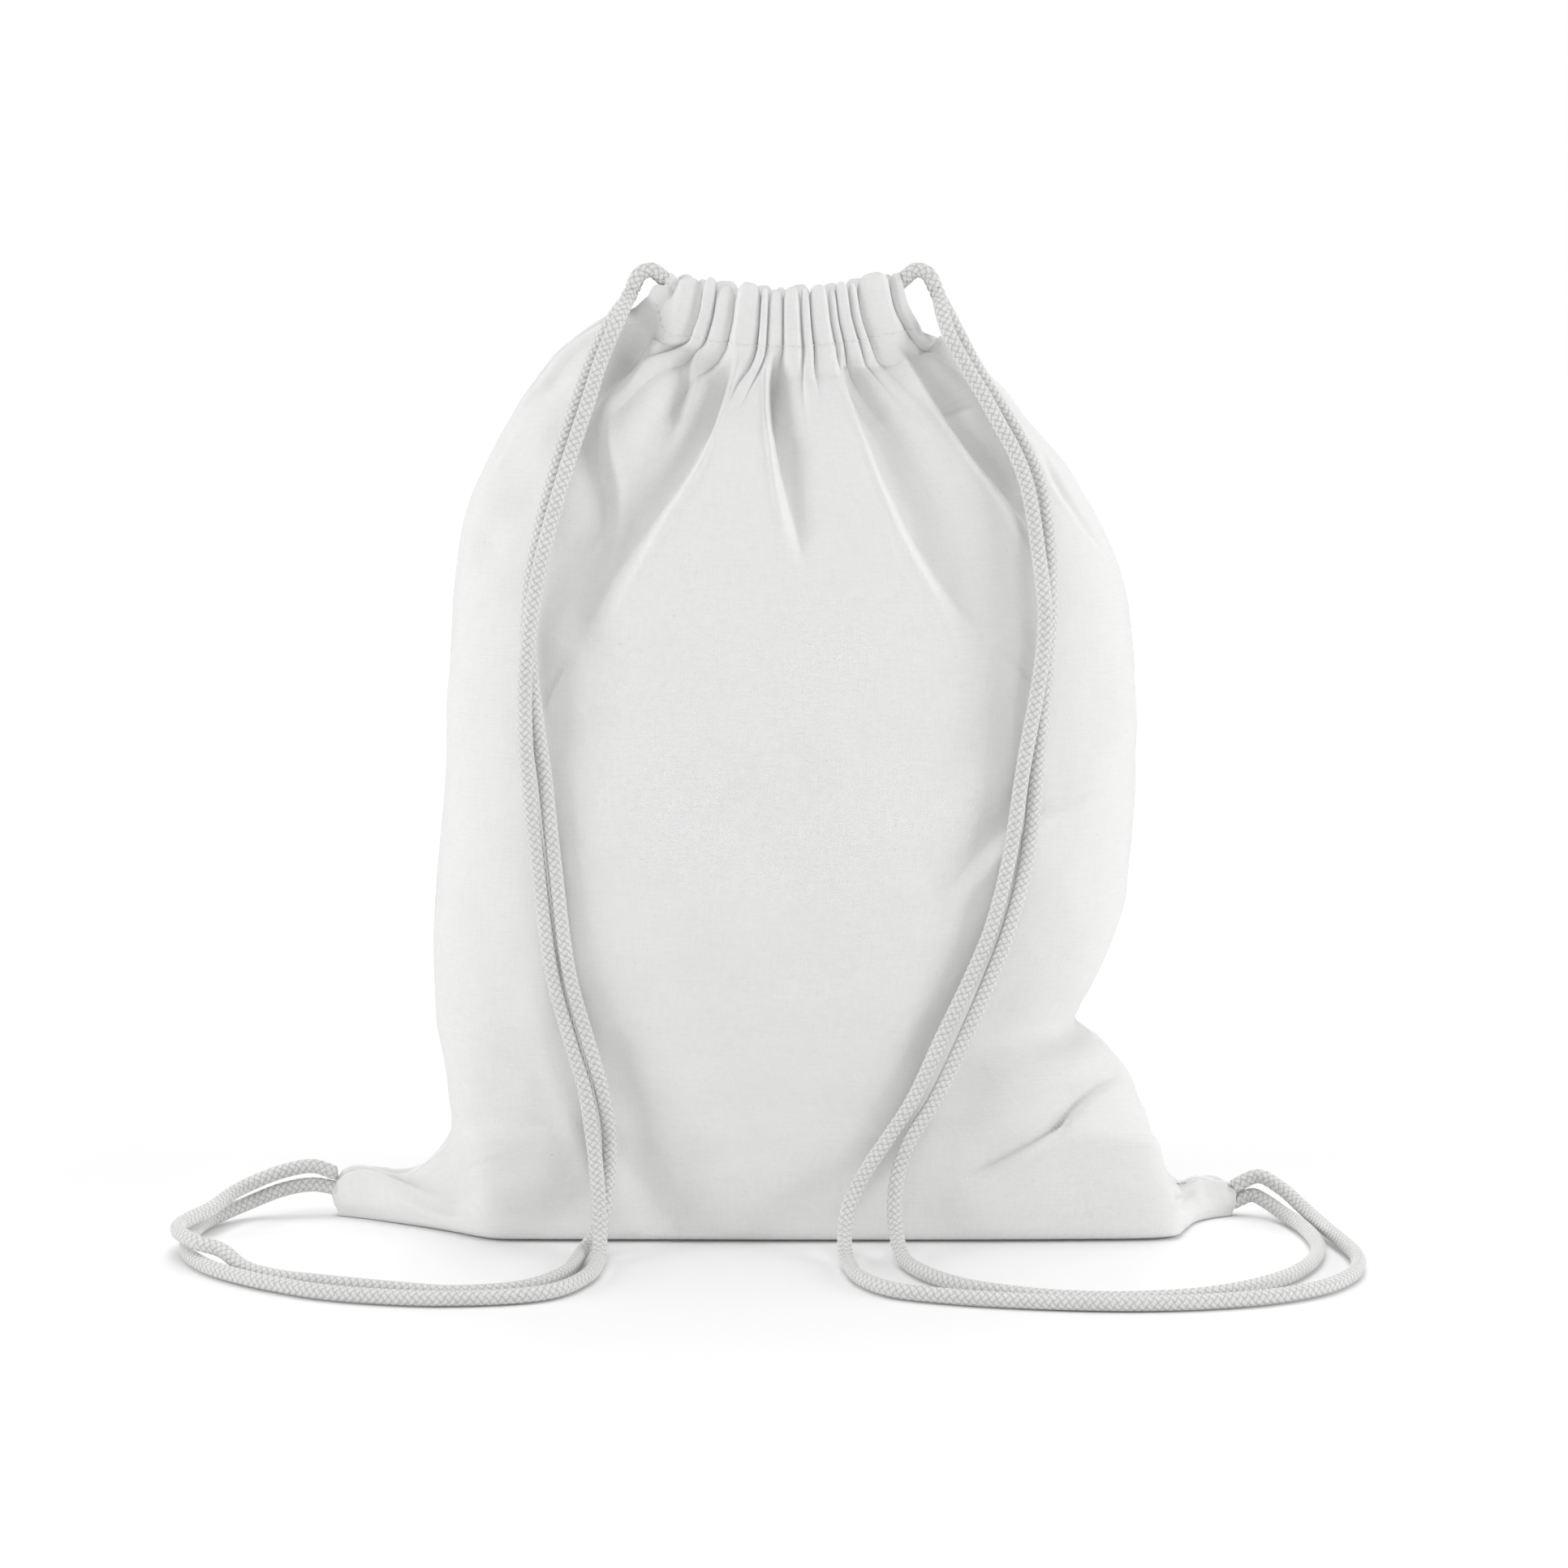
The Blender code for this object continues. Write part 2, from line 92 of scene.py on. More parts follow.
def make_floor():
    mesh = bpy.data.meshes.new("floor")
    reach = 12.0
    corners = [(-reach, -reach, 0), (reach, -reach, 0), (reach, reach, 0), (-reach, reach, 0)]
    mesh.from_pydata(corners, [], [(0, 1, 2, 3)])
    material = bpy.data.materials.new("floor_white")
    material.use_nodes = True
    tree = material.node_tree
    shader = tree.nodes["Principled BSDF"]
    shader.inputs["Base Color"].default_value = (0.93, 0.93, 0.93, 1)
    shader.inputs["Roughness"].default_value = 0.9
    shader.inputs["Specular IOR Level"].default_value = 0.0
    shader.inputs["Emission Color"].default_value = (1, 1, 1, 1)
    place = tree.nodes.new("ShaderNodeTexCoord")
    distance = tree.nodes.new("ShaderNodeVectorMath")
    distance.operation = "LENGTH"
    brightness = tree.nodes.new("ShaderNodeMapRange")
    for name, value in zip(("From Min", "From Max", "To Min", "To Max"), FLOOR_GLOW_REACH + FLOOR_GLOW):
        brightness.inputs[name].default_value = value
    tree.links.new(place.outputs["Object"], distance.inputs[0])
    tree.links.new(distance.outputs["Value"], brightness.inputs["Value"])
    ray = tree.nodes.new("ShaderNodeLightPath")
    glow = tree.nodes.new("ShaderNodeMath")
    glow.operation = "MULTIPLY"
    tree.links.new(brightness.outputs["Result"], glow.inputs[1])
    tree.links.new(ray.outputs["Is Camera Ray"], glow.inputs[0])
    tree.links.new(glow.outputs["Value"], shader.inputs["Emission Strength"])
    mesh.materials.append(material)
    floor = add_object("floor", mesh)


def make_area_light(name, place, target, size, power):
    data = bpy.data.lights.new(name, "AREA")
    data.shape = "RECTANGLE"
    data.size, data.size_y = size
    data.energy = power
    light = add_object(name, data)
    light.location = place
    light.rotation_euler = aim_from(place, target)


def make_world():
    """A white surround; what lights the object is dimmer than what the camera sees behind it."""
    world = bpy.data.worlds.new("studio")
    world.use_nodes = True
    tree = world.node_tree
    lit = tree.nodes["Background"]
    lit.inputs["Strength"].default_value = AMBIENT
    lit.inputs["Color"].default_value = (1, 1, 1, 1)
    seen = tree.nodes.new("ShaderNodeBackground")
    seen.inputs["Color"].default_value = (1, 1, 1, 1)
    ray = tree.nodes.new("ShaderNodeLightPath")
    mix = tree.nodes.new("ShaderNodeMixShader")
    tree.links.new(ray.outputs["Is Camera Ray"], mix.inputs["Fac"])
    tree.links.new(lit.outputs["Background"], mix.inputs[1])
    tree.links.new(seen.outputs["Background"], mix.inputs[2])
    tree.links.new(mix.outputs["Shader"], tree.nodes["World Output"].inputs["Surface"])
    bpy.context.scene.world = world


def make_lights():
    for name, place, size, power in SOFTBOXES:
        make_area_light(name, place, LIGHT_AIM, size, power)
    for name, place, strength, spread in SKIES:
        data = bpy.data.lights.new(name, "SUN")
        data.energy = strength
        data.angle = math.radians(spread)
        add_object(name, data).rotation_euler = aim_from(place, (0, 0, 0))
    bpy.context.scene.view_settings.view_transform = "Standard"


# ---- curves through points

MOUTH_MIDDLE = -1.0         # x where the gathered cloth hangs straight down


def resample(points, count, level=0.0):
    """Evenly spaced points along a polyline; level is how much of the spacing goes by x alone,
    on each side of the mouth's middle."""
    steps = np.linalg.norm(np.diff(points, axis=0), axis=1)
    along = np.concatenate([[0], np.cumsum(steps)])
    along = along / along[-1]
    if level:
        x = points[:, 0]
        half_width = np.where(x < MOUTH_MIDDLE, MOUTH_MIDDLE - x[0], x[-1] - MOUTH_MIDDLE)
        across = 0.5 + 0.5 * (x - MOUTH_MIDDLE) / half_width
        along = along * (1 - level) + across * level
    target = np.linspace(0, 1, count)
    return np.stack([np.interp(target, along, points[:, k]) for k in range(points.shape[1])], 1)


def smooth_line(knots, steps=24):
    """Centripetal Catmull-Rom curve through the knots, as a fine polyline."""
    knots = np.array(knots, float)
    knots = np.vstack([2 * knots[0] - knots[1], knots, 2 * knots[-1] - knots[-2]])
    pieces = []
    share = np.linspace(0, 1, steps, endpoint=False)[:, None]
    for first in range(len(knots) - 3):
        p0, p1, p2, p3 = knots[first:first + 4]
        t1 = np.linalg.norm(p1 - p0) ** 0.5
        t2 = t1 + np.linalg.norm(p2 - p1) ** 0.5
        t3 = t2 + np.linalg.norm(p3 - p2) ** 0.5
        t = t1 + (t2 - t1) * share
        a1 = p0 * ((t1 - t) / t1) + p1 * (t / t1)
        a2 = p1 * ((t2 - t) / (t2 - t1)) + p2 * ((t - t1) / (t2 - t1))
        a3 = p2 * ((t3 - t) / (t3 - t2)) + p3 * ((t - t2) / (t3 - t2))
        b1 = a1 * ((t2 - t) / t2) + a2 * (t / t2)
        b2 = a2 * ((t3 - t) / (t3 - t1)) + a3 * ((t - t1) / (t3 - t1))
        pieces.append(b1 * ((t2 - t) / (t2 - t1)) + b2 * ((t - t1) / (t2 - t1)))
    return np.vstack(pieces + [knots[-2][None]])


def evenly(points, spacing):
    length = np.linalg.norm(np.diff(points, axis=0), axis=1).sum()
    return resample(points, max(3, int(round(length / spacing)) + 1))


# ---- cords

CORD_RADIUS = 3.0
FLOOR_HEIGHT = CORD_RADIUS + 0.2

LEFT_FRONT_ROUTE = (
    (-61.1, -10.4, 380.9), (-62.4, -11.6, 378), (-64.5, -16, 373), (-67, -21, 367), (-72, -24, 355),
    (-78, -33, 336),
    (-88, -45, 304), (-96, -53, 273), (-100, -56.5, 248), (-102, -57.5, 222), (-101, -57, 190),
    (-97.5, -56.5, 157), (-92, -56, 112), (-85, -56, 85), (-79.5, -56, 65.5), (-76.5, -57, 46),
    (-74.5, -61, 30), (-73, -71, 15), (-73, -84, 4), (-76, -111, 3.4), (-87, -133, 3.4),
    (-100, -141, 3.4), (-124, -145, 3.4), (-145, -144, 3.4), (-175, -136, 3.4), (-195, -124.5, 3.4),
    (-209, -114, 3.4), (-223, -100, 3.4), (-232, -86, 3.4), (-237, -72, 3.4), (-239, -55, 3.4),
    (-238, -35, 3.4), (-233, -18, 3.6), (-222, -7, 6.5), (-207, -2, 11.5), (-195, 0, 13),
    (-186, 0, 11.6),
)
LEFT_BACK_ROUTE = (
    (-61.1, -3.4, 380.9), (-62.6, -4.5, 377.8), (-66, -8.5, 373), (-70, -14, 366.5), (-76, -17.5, 354),
    (-82.5, -27, 335.5),
    (-92, -39, 304), (-99, -46.5, 272.5), (-101, -49.7, 249), (-98.5, -51.5, 218),
    (-94.5, -54, 189.5), (-91, -56, 157), (-85.4, -56, 112), (-78.4, -56, 85.5), (-73, -55, 65.5),
    (-70, -53.5, 46), (-70.5, -55, 30), (-72, -61, 17), (-76, -66, 7), (-80, -75, 3.4),
    (-82, -92, 3.4), (-85, -107, 3.4), (-92, -121, 3.4), (-102, -131, 3.4), (-126, -137, 3.4),
    (-146, -132, 3.4), (-177, -121, 3.4), (-196, -113, 3.4), (-210, -103, 4.5), (-220, -94, 9),
    (-230, -88, 10.4), (-236.5, -79, 10.8), (-241, -68, 10.2), (-242, -57, 10), (-239, -47, 10.3),
    (-233.5, -33, 10.5), (-224, -9, 13.5), (-208, -2.5, 19), (-195, 0, 20.8), (-186, 0, 18),
)
RIGHT_FRONT_ROUTE = (
    (61.1, -10.4, 380.9), (62.2, -11.8, 377.8), (63.2, -16, 372), (66.5, -21, 362), (73, -23.5, 350),
    (79, -27.5, 340),
    (85, -32, 329), (91.5, -36.5, 317), (96, -42, 304), (100, -51, 279), (102.5, -57.5, 254),
    (101, -59, 235), (94.5, -58.5, 196), (89, -57.5, 158), (82.5, -56.5, 131),
    (75, -56, 112), (62.5, -56, 85), (51, -56.5, 60), (42, -57, 46), (33.5, -60, 34),
    (26.5, -66, 22), (24, -74, 11), (25, -88, 3.8), (30, -115, 3.4), (41, -132, 3.4),
    (57, -140, 3.4), (73, -145, 3.4), (102, -150.5, 3.4), (133, -152.5, 3.4), (164, -149, 3.4),
    (190, -140, 3.4), (209, -126, 3.4), (221.5, -106, 3.4), (226, -84, 3.4), (224.5, -66, 3.6),
    (220, -44, 4.4), (213.5, -18, 7), (205, -5, 13), (196.5, 0, 16.5), (186, 0, 12),
)
RIGHT_BACK_ROUTE = (
    (61.1, -3.4, 380.9), (62.5, -4.5, 377.8), (66, -9, 371), (71, -14.5, 361), (77, -16, 350),
    (83.5, -20, 339.5),
    (90, -25, 329), (96.5, -29.5, 317), (101.5, -35, 304), (104.5, -45, 279), (104.5, -51, 254),
    (103, -52.5, 230), (100, -54.5, 196), (96, -56, 158), (89.5, -56, 131),
    (82.5, -55.5, 111.5), (71.5, -55.5, 85), (59.5, -56, 59.5), (51, -57, 46), (46, -58, 33),
    (44, -62, 21), (44.5, -70, 10.5), (47, -85, 3.8), (53, -104, 3.4), (63, -120, 3.4),
    (75, -131, 3.4), (103, -143.5, 3.4), (133, -145.8, 3.4), (164, -138, 3.4), (191, -117, 3.4),
    (204, -97, 3.4), (211.5, -75, 3.4), (213, -54, 3.4), (210.5, -31, 3.4), (205, -13, 4.2),
    (199, -4, 7), (194, 0, 8.5), (186, 0, 5.4),
)
ROUTES = {
    "left_strap_front_strand": ("left_strap", LEFT_FRONT_ROUTE),
    "left_strap_back_strand": ("left_strap", LEFT_BACK_ROUTE),
    "right_strap_front_strand": ("right_strap", RIGHT_FRONT_ROUTE),
    "right_strap_back_strand": ("right_strap", RIGHT_BACK_ROUTE),
}

TUNNEL_HALF_LENGTH = 42.0
TUNNEL_LOW = 368.0
TUNNEL_RISE = 7.0
TUNNEL_END_Y = 7.2
TUNNEL_BULGE = 8.3
RUN_CLIMB = 4.0
RUN_SIDESTEP = 3.5
RUN_REACH = 0.93            # share of the tunnel's length that a run passes before it turns back
RUN_TURN = 5.5
RUN_HALF_STEPS = 6
TURN_STEPS = 6
FRONT_STUB = ((60.9, -10.3, 381.4), (57.8, -9.6, 387.3), (53.0, -9.0, 389.0), (48.2, -8.0, 385.5))
BACK_STUB = ((48.2, 5.2, 385.5), (53.0, 1.6, 389.0), (57.8, -2.2, 387.3), (60.9, -3.5, 381.4))

BRAID_STEP = 0.6            # between rings of a cord's surface
BRAID_SIDES = 30
BRAID_PLAITS = 5            # plaits that wind each way round a cord
BRAID_PITCH = 15.0          # length of one turn of a plait
BRAID_DEPTH = 0.40
END_TAPER = 0.12            # share of its radius that a cord loses at its very end
END_LENGTH = 0.8            # over this length
EAR_REACH = 0.9             # how much further than its route's end a cord goes, into the ear


def tunnel_centre(across):
    """Middle of the front tunnel; across runs from -1 at its left end to 1 at its right end."""
    y = -(TUNNEL_END_Y + TUNNEL_BULGE * math.cos(across * math.pi / 2))
    return np.array((across * TUNNEL_HALF_LENGTH, y, TUNNEL_LOW + TUNNEL_RISE * across ** 2))


def tunnel_run_points(outward):
    """A cord's held part: out of the stub, through the front tunnel, round its far end and back."""
    points = [np.array((outward * x, y, z)) for x, y, z in FRONT_STUB]
    front = []
    for step in range(2 * RUN_HALF_STEPS + 1):
        across = outward * (1 - step / RUN_HALF_STEPS) * RUN_REACH
        sidestep = outward * RUN_SIDESTEP * math.cos(across * math.pi / 2)
        front.append(tunnel_centre(across) + (0, sidestep, outward * across * RUN_CLIMB))
    points += front
    turn = front[-1]
    for step in range(1, TURN_STEPS):
        angle = math.pi * step / TURN_STEPS
        x = turn[0] - outward * RUN_TURN * math.sin(angle)
        points.append(np.array((x, turn[1] * math.cos(angle), turn[2])))
    points += [point * (1, -1, 1) for point in reversed(front)]
    points += [np.array((outward * x, y, z)) for x, y, z in BACK_STUB]
    return points


def carried_frames(line):
    """Two directions across a line at each of its points, carried along without twisting."""
    ahead = np.gradient(line, axis=0)
    ahead /= np.linalg.norm(ahead, axis=1)[:, None]
    side = np.cross(ahead[0], (0.0, 0.0, 1.0))
    side /= np.linalg.norm(side)
    sides = [side]
    for direction in ahead[1:]:
        side = side - direction * side.dot(direction)
        side /= np.linalg.norm(side)
        sides.append(side)
    sides = np.array(sides)
    return sides, np.cross(ahead, sides)


def braid_height(turn, along):
    """Height of a round braid's surface: plaits wind both ways and pass over one and under one."""
    first = turn * BRAID_PLAITS + along / BRAID_PITCH * BRAID_PLAITS
    second = turn * BRAID_PLAITS - along / BRAID_PITCH * BRAID_PLAITS
    first_on_top = np.mod(np.floor(first) + np.floor(second), 2) < 1
    crown_first = np.sin(np.pi * np.mod(first, 1.0))
    crown_second = np.sin(np.pi * np.mod(second, 1.0))
    return np.where(first_on_top, crown_first, crown_second) ** 0.6


def make_braid(name, line):
    """A cord as a closed tube whose surface carries the plaits of a round braid."""
    sides, ups = carried_frames(line)
    along = np.concatenate([[0], np.cumsum(np.linalg.norm(np.diff(line, axis=0), axis=1))])
    turn = np.arange(BRAID_SIDES) / BRAID_SIDES
    angle = 2 * np.pi * turn
    height = braid_height(turn[None, :], along[:, None])
    radius = CORD_RADIUS - BRAID_DEPTH * (1 - height)
    from_end = np.minimum(along, along[-1] - along)
    radius *= (1 - END_TAPER * np.clip(1 - from_end / END_LENGTH, 0, 1) ** 2)[:, None]
    ring = np.cos(angle)[None, :, None] * sides[:, None] + np.sin(angle)[None, :, None] * ups[:, None]
    points = line[:, None] + radius[:, :, None] * ring
    count = len(line)
    vertices = np.vstack([points.reshape(-1, 3), line[:1], line[-1:]]) * MM
    start, end = count * BRAID_SIDES, count * BRAID_SIDES + 1
    faces = []
    places = []
    for row in range(count - 1):
        for side in range(BRAID_SIDES):
            across = (side + 1) % BRAID_SIDES
            a, b = row * BRAID_SIDES + side, row * BRAID_SIDES + across
            faces.append((a, b, b + BRAID_SIDES, a + BRAID_SIDES))
            low, high = along[row], along[row + 1]
            edge = side + 1
            places += [(side, low), (edge, low), (edge, high), (side, high)]
    last = (count - 1) * BRAID_SIDES
    for side in range(BRAID_SIDES):
        across = (side + 1) % BRAID_SIDES
        faces.append((start, across, side))
        places += [(side, 0)] * 3
        faces.append((end, last + side, last + across))
        places += [(side, along[-1])] * 3
    mesh = bpy.data.meshes.new(name)
    mesh.from_pydata(vertices.tolist(), [], faces)
    layer = mesh.uv_layers.new(name="braid")
    places = np.array(places, float) / (BRAID_SIDES, BRAID_PITCH)
    layer.data.foreach_set("uv", places.ravel())
    mesh.shade_smooth()
    return add_object(name, mesh)


def make_cords(material):
    """The four free strands and the two held runs; returns every centre line in millimetres."""
    lines = []
    for node, (body, route) in ROUTES.items():
        tip = route[-1]
        inside = (math.copysign(abs(tip[0]) - EAR_REACH, tip[0]), tip[1], tip[2])
        line = evenly(smooth_line(route + (inside,)), BRAID_STEP)
        line[:, 2] = np.maximum(line[:, 2], FLOOR_HEIGHT)
        piece = make_braid(node.replace("strand", "cord"), line)
        piece.data.materials.append(material)
        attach(piece, body)
        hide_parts(node)
        lines.append(line)
    for side, outward in (("left", -1), ("right", 1)):
        line = evenly(smooth_line(tunnel_run_points(outward)), BRAID_STEP)
        piece = make_braid(side + "_cord_run", line)
        piece.data.materials.append(material)
        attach(piece, "root")
        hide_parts(side + "_cord_tunnel_run")
        lines.append(line)
    return lines


# ---- cloth: the bag's form

COLUMNS = 340               # threads of the cage from one side seam to the other
CLOTH_THICKNESS = 0.5
PANEL_WIDTH = 0.37          # across the flat panel, in metres; the weave is counted over it

# Filled-out body: height, left side, right side, half depth, squareness
BODY_STATIONS = (
    (56.0, -137.5, 143.5, 51.5, 3.4),
    (67.0, -139.0, 136.0, 52.5, 3.2),
    (76.0, -140.6, 127.5, 53.0, 3.1),
    (82.6, -141.6, 119.5, 53.5, 3.0),
    (90.0, -142.4, 121.5, 54.0, 3.0),
    (100.0, -143.2, 126.0, 54.5, 3.0),
    (114.0, -143.4, 132.0, 55.0, 3.0),
    (133.0, -142.5, 138.5, 56.0, 3.0),
    (155.0, -140.5, 141.5, 56.5, 3.0),
    (180.0, -138.0, 143.0, 56.5, 2.9),
    (208.0, -136.5, 142.5, 56.0, 2.9),
    (236.0, -135.0, 141.5, 54.5, 2.9),
    (264.0, -133.0, 137.0, 51.5, 2.8),
    (290.0, -128.5, 126.0, 46.0, 2.7),
    (308.0, -121.5, 114.5, 39.5, 2.6),
    (326.0, -112.0, 99.5, 31.0, 2.5),
)
# Rows of the shoulders dip in their middle: how far along the cloth, the side's height, left side,
# right side, half depth, squareness, dip
SHOULDER_STATIONS = (
    (384.0, 342.0, -102.0, 87.0, 25.5, 2.0, 8.0),
    (394.0, 358.0, -88.0, 68.5, 22.0, 1.7, 15.0),
)
SEAM_EDGE = 1.2

# Outlines of the base and the corner ears, from the left tip round the front to the right tip
SOLE_INSET = 0.03           # share by which the bottom's middle seam is shorter than its edge
SOLE_OUTLINE = (
    (-185, -2.4), (-172, -9), (-155, -19.5), (-138, -31), (-124, -42), (-117, -46), (-100, -47),
    (-50, -47.5), (0, -48), (60, -48), (120, -47), (150, -45), (159, -41), (164, -29), (170, -15),
    (178, -7), (186, -2.4),
)
EAR_BELLY = (
    (-186, -2.6, 6), (-172, -11, 9), (-155, -20, 9), (-140, -29, 7.5), (-127, -40, 9),
    (-119, -46, 11), (-100, -48, 12), (-50, -49.5, 12), (0, -50, 12), (60, -50, 12),
    (120, -49, 12), (150, -46.5, 12), (157.5, -42, 12), (161, -30, 10), (164.5, -16, 8.5),
    (173, -9, 9), (187, -2.6, 6),
)
EAR_FOLD = (
    (-186, -2.4, 12.5), (-181.5, -3.2, 17.6), (-174.5, -4.2, 19.4), (-167, -6, 18.4),
    (-159, -9, 16.4), (-147, -17, 12.4), (-134.5, -27, 12), (-126, -38, 17), (-119.5, -46.5, 21),
    (-100, -49, 22), (-50, -50.2, 22), (0, -50.8, 22), (60, -50.8, 22), (120, -49.8, 22),
    (148, -47.5, 22), (156, -42, 20), (159, -30, 14), (163, -15, 11), (170, -7, 13.5),
    (179, -3.5, 15.5), (185.5, -2.4, 12),
)
EAR_RIDGE = (
    (-175, -1.2, 20), (-166, -3, 18.6), (-158, -6, 17.4), (-147, -13, 16.8), (-136, -25, 20),
    (-127.5, -38, 28), (-119.5, -46.8, 32), (-100, -49.6, 33), (-50, -50.8, 33), (0, -51.4, 33),
    (60, -51.4, 33), (120, -50.2, 33), (145, -48, 32), (153.5, -41, 30), (155.5, -28, 24),
    (157.5, -14, 17), (163, -5, 14.8), (172, -1.2, 15.2),
)
EAR_BACK = (
    (-159, -1.2, 16.4), (-150, -6, 19.5), (-142, -16, 23.5), (-134, -30, 31), (-127, -40, 35),
    (-118.5, -47.4, 37), (-100, -49.9, 38), (-50, -51, 38), (0, -51.6, 38), (60, -51.6, 38),
    (120, -50.5, 38), (143, -48.2, 37), (151.5, -41.5, 35.5), (154, -28, 30), (155.5, -14, 22),
    (158, -5, 17.5), (161, -1.2, 16),
)
EAR_NECK = (
    (-139.5, -1.2, 28.4), (-138.3, -14, 31.5), (-134.5, -28, 38), (-127.5, -40, 42),
    (-118, -48, 43), (-100, -50.2, 44), (-50, -51.2, 44), (0, -51.8, 44), (60, -51.8, 44),
    (120, -50.8, 44), (140, -48.5, 43), (149, -42, 42), (152.5, -28, 36), (153, -14, 28),
    (154.5, -1.2, 22),
)
MOUTH_EDGE = (
    (-64, -1.2, 372.5), (-57, -6.5, 364), (-43, -14, 357.5), (-22, -19.5, 352.5), (0, -21.5, 351),
    (22, -20, 351.2), (41, -15, 353.5), (54, -8, 357), (61.5, -1.2, 362),
)


def section(left, right, depth, squareness, height, dip=0.0, level=0.0):
    """The front half of the body's outline at one height, from seam to seam."""
    angle = np.linspace(np.pi, 2 * np.pi, 500)
    c, s = np.cos(angle), np.sin(angle)
    power = 2 / squareness
    x = (left + right) / 2 + (right - left) / 2 * np.sign(c) * np.abs(c) ** power
    y = np.minimum(depth * np.sign(s) * np.abs(s) ** power, -SEAM_EDGE)
    middle, half = (left + right) / 2, (right - left) / 2
    z = height - dip * (1 - ((x - middle) / half) ** 2)
    return resample(np.stack([x, y, z], 1), COLUMNS + 1, level)


def sole_row(share, height, spread=1.0):
    """A row of the flat bottom: share goes from 0 at its middle seam to 1 at its edge."""
    outline = np.array([(x * (1 - SOLE_INSET * (1 - share)), y * spread, height) for x, y in SOLE_OUTLINE])
    row = resample(smooth_line(outline), COLUMNS + 1)
    row[:, 1] = np.minimum(row[:, 1] * share, -SEAM_EDGE)
    return row


def sleeve_row(outward, height, flare=1.0):
    """A row of the tunnel; outward goes from 1 on its outer face to -1 on its inner one, and
    flare widens the rows that lead down to the shoulders."""
    row = []
    for across in np.linspace(-1, 1, SLEEVE_STEPS):
        centre = tunnel_centre(across)
        half_depth = SLEEVE_HALF_DEPTH[0] + SLEEVE_HALF_DEPTH[1] * math.cos(across * math.pi / 2)
        centre[0] *= flare
        row.append(centre + (across * SLEEVE_OVERHANG, -outward * half_depth, height))
    return resample(np.array(row), COLUMNS + 1)


SHOULDER_START = 373.0      # distance along the cloth where the columns start to gather
SHOULDER_END = 398.0        # and where they are gathered fully
STITCH_LINE = 412.0         # distance of the tunnel's stitched edge along the cloth
FOLD_LINE = 432.0
HEM_LINE = 451.0
ROW_STEP = 1.1
BODY_START = 47             # distance along the cloth less height, for the body's rows
SLEEVE_STEPS = 61
SLEEVE_HALF_DEPTH = (4.4, 3.6)      # at the tunnel's ends, and what its middle adds
SLEEVE_OVERHANG = 5.0       # how far the cloth reaches past the tunnel's ends


def key_rows():
    """Rows of the front cloth from the bottom seam to the hem inside the tunnel, with their distance."""
    rows = [
        (0, sole_row(0.0, 0.8)),
        (14, sole_row(0.3, 0.7)),
        (30, sole_row(0.66, 0.7)),
        (42, sole_row(0.92, 0.9)),
        (48, sole_row(1.0, 3.0, 1.01)),
    ]
    for place, outline in ((58, EAR_BELLY), (69, EAR_FOLD), (80, EAR_RIDGE), (85, EAR_BACK), (91, EAR_NECK)):
        rows.append((place, resample(smooth_line(outline), COLUMNS + 1)))
    for height, left, right, depth, squareness in BODY_STATIONS:
        rows.append((height + BODY_START, section(left, right, depth, squareness, height)))
    for place, height, left, right, depth, squareness, dip in SHOULDER_STATIONS:
        level = (place - SHOULDER_START) / (SHOULDER_END - SHOULDER_START)
        rows.append((place, section(left, right, depth, squareness, height, dip, level)))
    rows += [
        (404, resample(smooth_line(MOUTH_EDGE), COLUMNS + 1, 0.96)),
        (STITCH_LINE, sleeve_row(0.92, -9.2, 1.17)),
        (STITCH_LINE + 3, sleeve_row(0.98, -6.0, 1.12)),
        (STITCH_LINE + 9, sleeve_row(1.0, 0.0, 1.04)),
        (STITCH_LINE + 16, sleeve_row(0.62, 7.4)),
        (FOLD_LINE, sleeve_row(0.0, 10.3)),
        (STITCH_LINE + 24, sleeve_row(-0.6, 7.4)),
        (STITCH_LINE + 31, sleeve_row(-1.0, 0.0, 1.0)),
        (HEM_LINE, sleeve_row(-0.8, -7.6)),
    ]
    return rows


def through_rows(rows, places):
    """Cloth points at the given distances along it, on smooth curves through the key rows."""
    at = np.array([row[0] for row in rows], float)
    keys = np.array([row[1] for row in rows])
    slopes = np.empty_like(keys)
    gaps = np.diff(at)[:, None, None]
    chords = np.diff(keys, axis=0) / gaps
    slopes[1:-1] = (chords[:-1] * gaps[1:] + chords[1:] * gaps[:-1]) / (gaps[1:] + gaps[:-1])
    slopes[0], slopes[-1] = chords[0], chords[-1]
    span = np.clip(np.searchsorted(at, places, side="right") - 1, 0, len(at) - 2)
    gap = (at[span + 1] - at[span])[:, None, None]
    t = ((places - at[span])[:, None, None]) / gap
    return ((2 * t ** 3 - 3 * t ** 2 + 1) * keys[span] + (t ** 3 - 2 * t ** 2 + t) * gap * slopes[span]
            + (-2 * t ** 3 + 3 * t ** 2) * keys[span + 1] + (t ** 3 - t ** 2) * gap * slopes[span + 1])


def outward_normals(grid):
    across = np.gradient(grid, axis=1)
    upward = np.gradient(grid, axis=0)
    normals = np.cross(across, upward)
    return normals / np.maximum(np.linalg.norm(normals, axis=2), 1e-9)[:, :, None]


def smoothstep(value, low, high):
    t = np.clip((value - low) / (high - low), 0, 1)
    return t * t * (3 - 2 * t)


# ---- cloth: folds

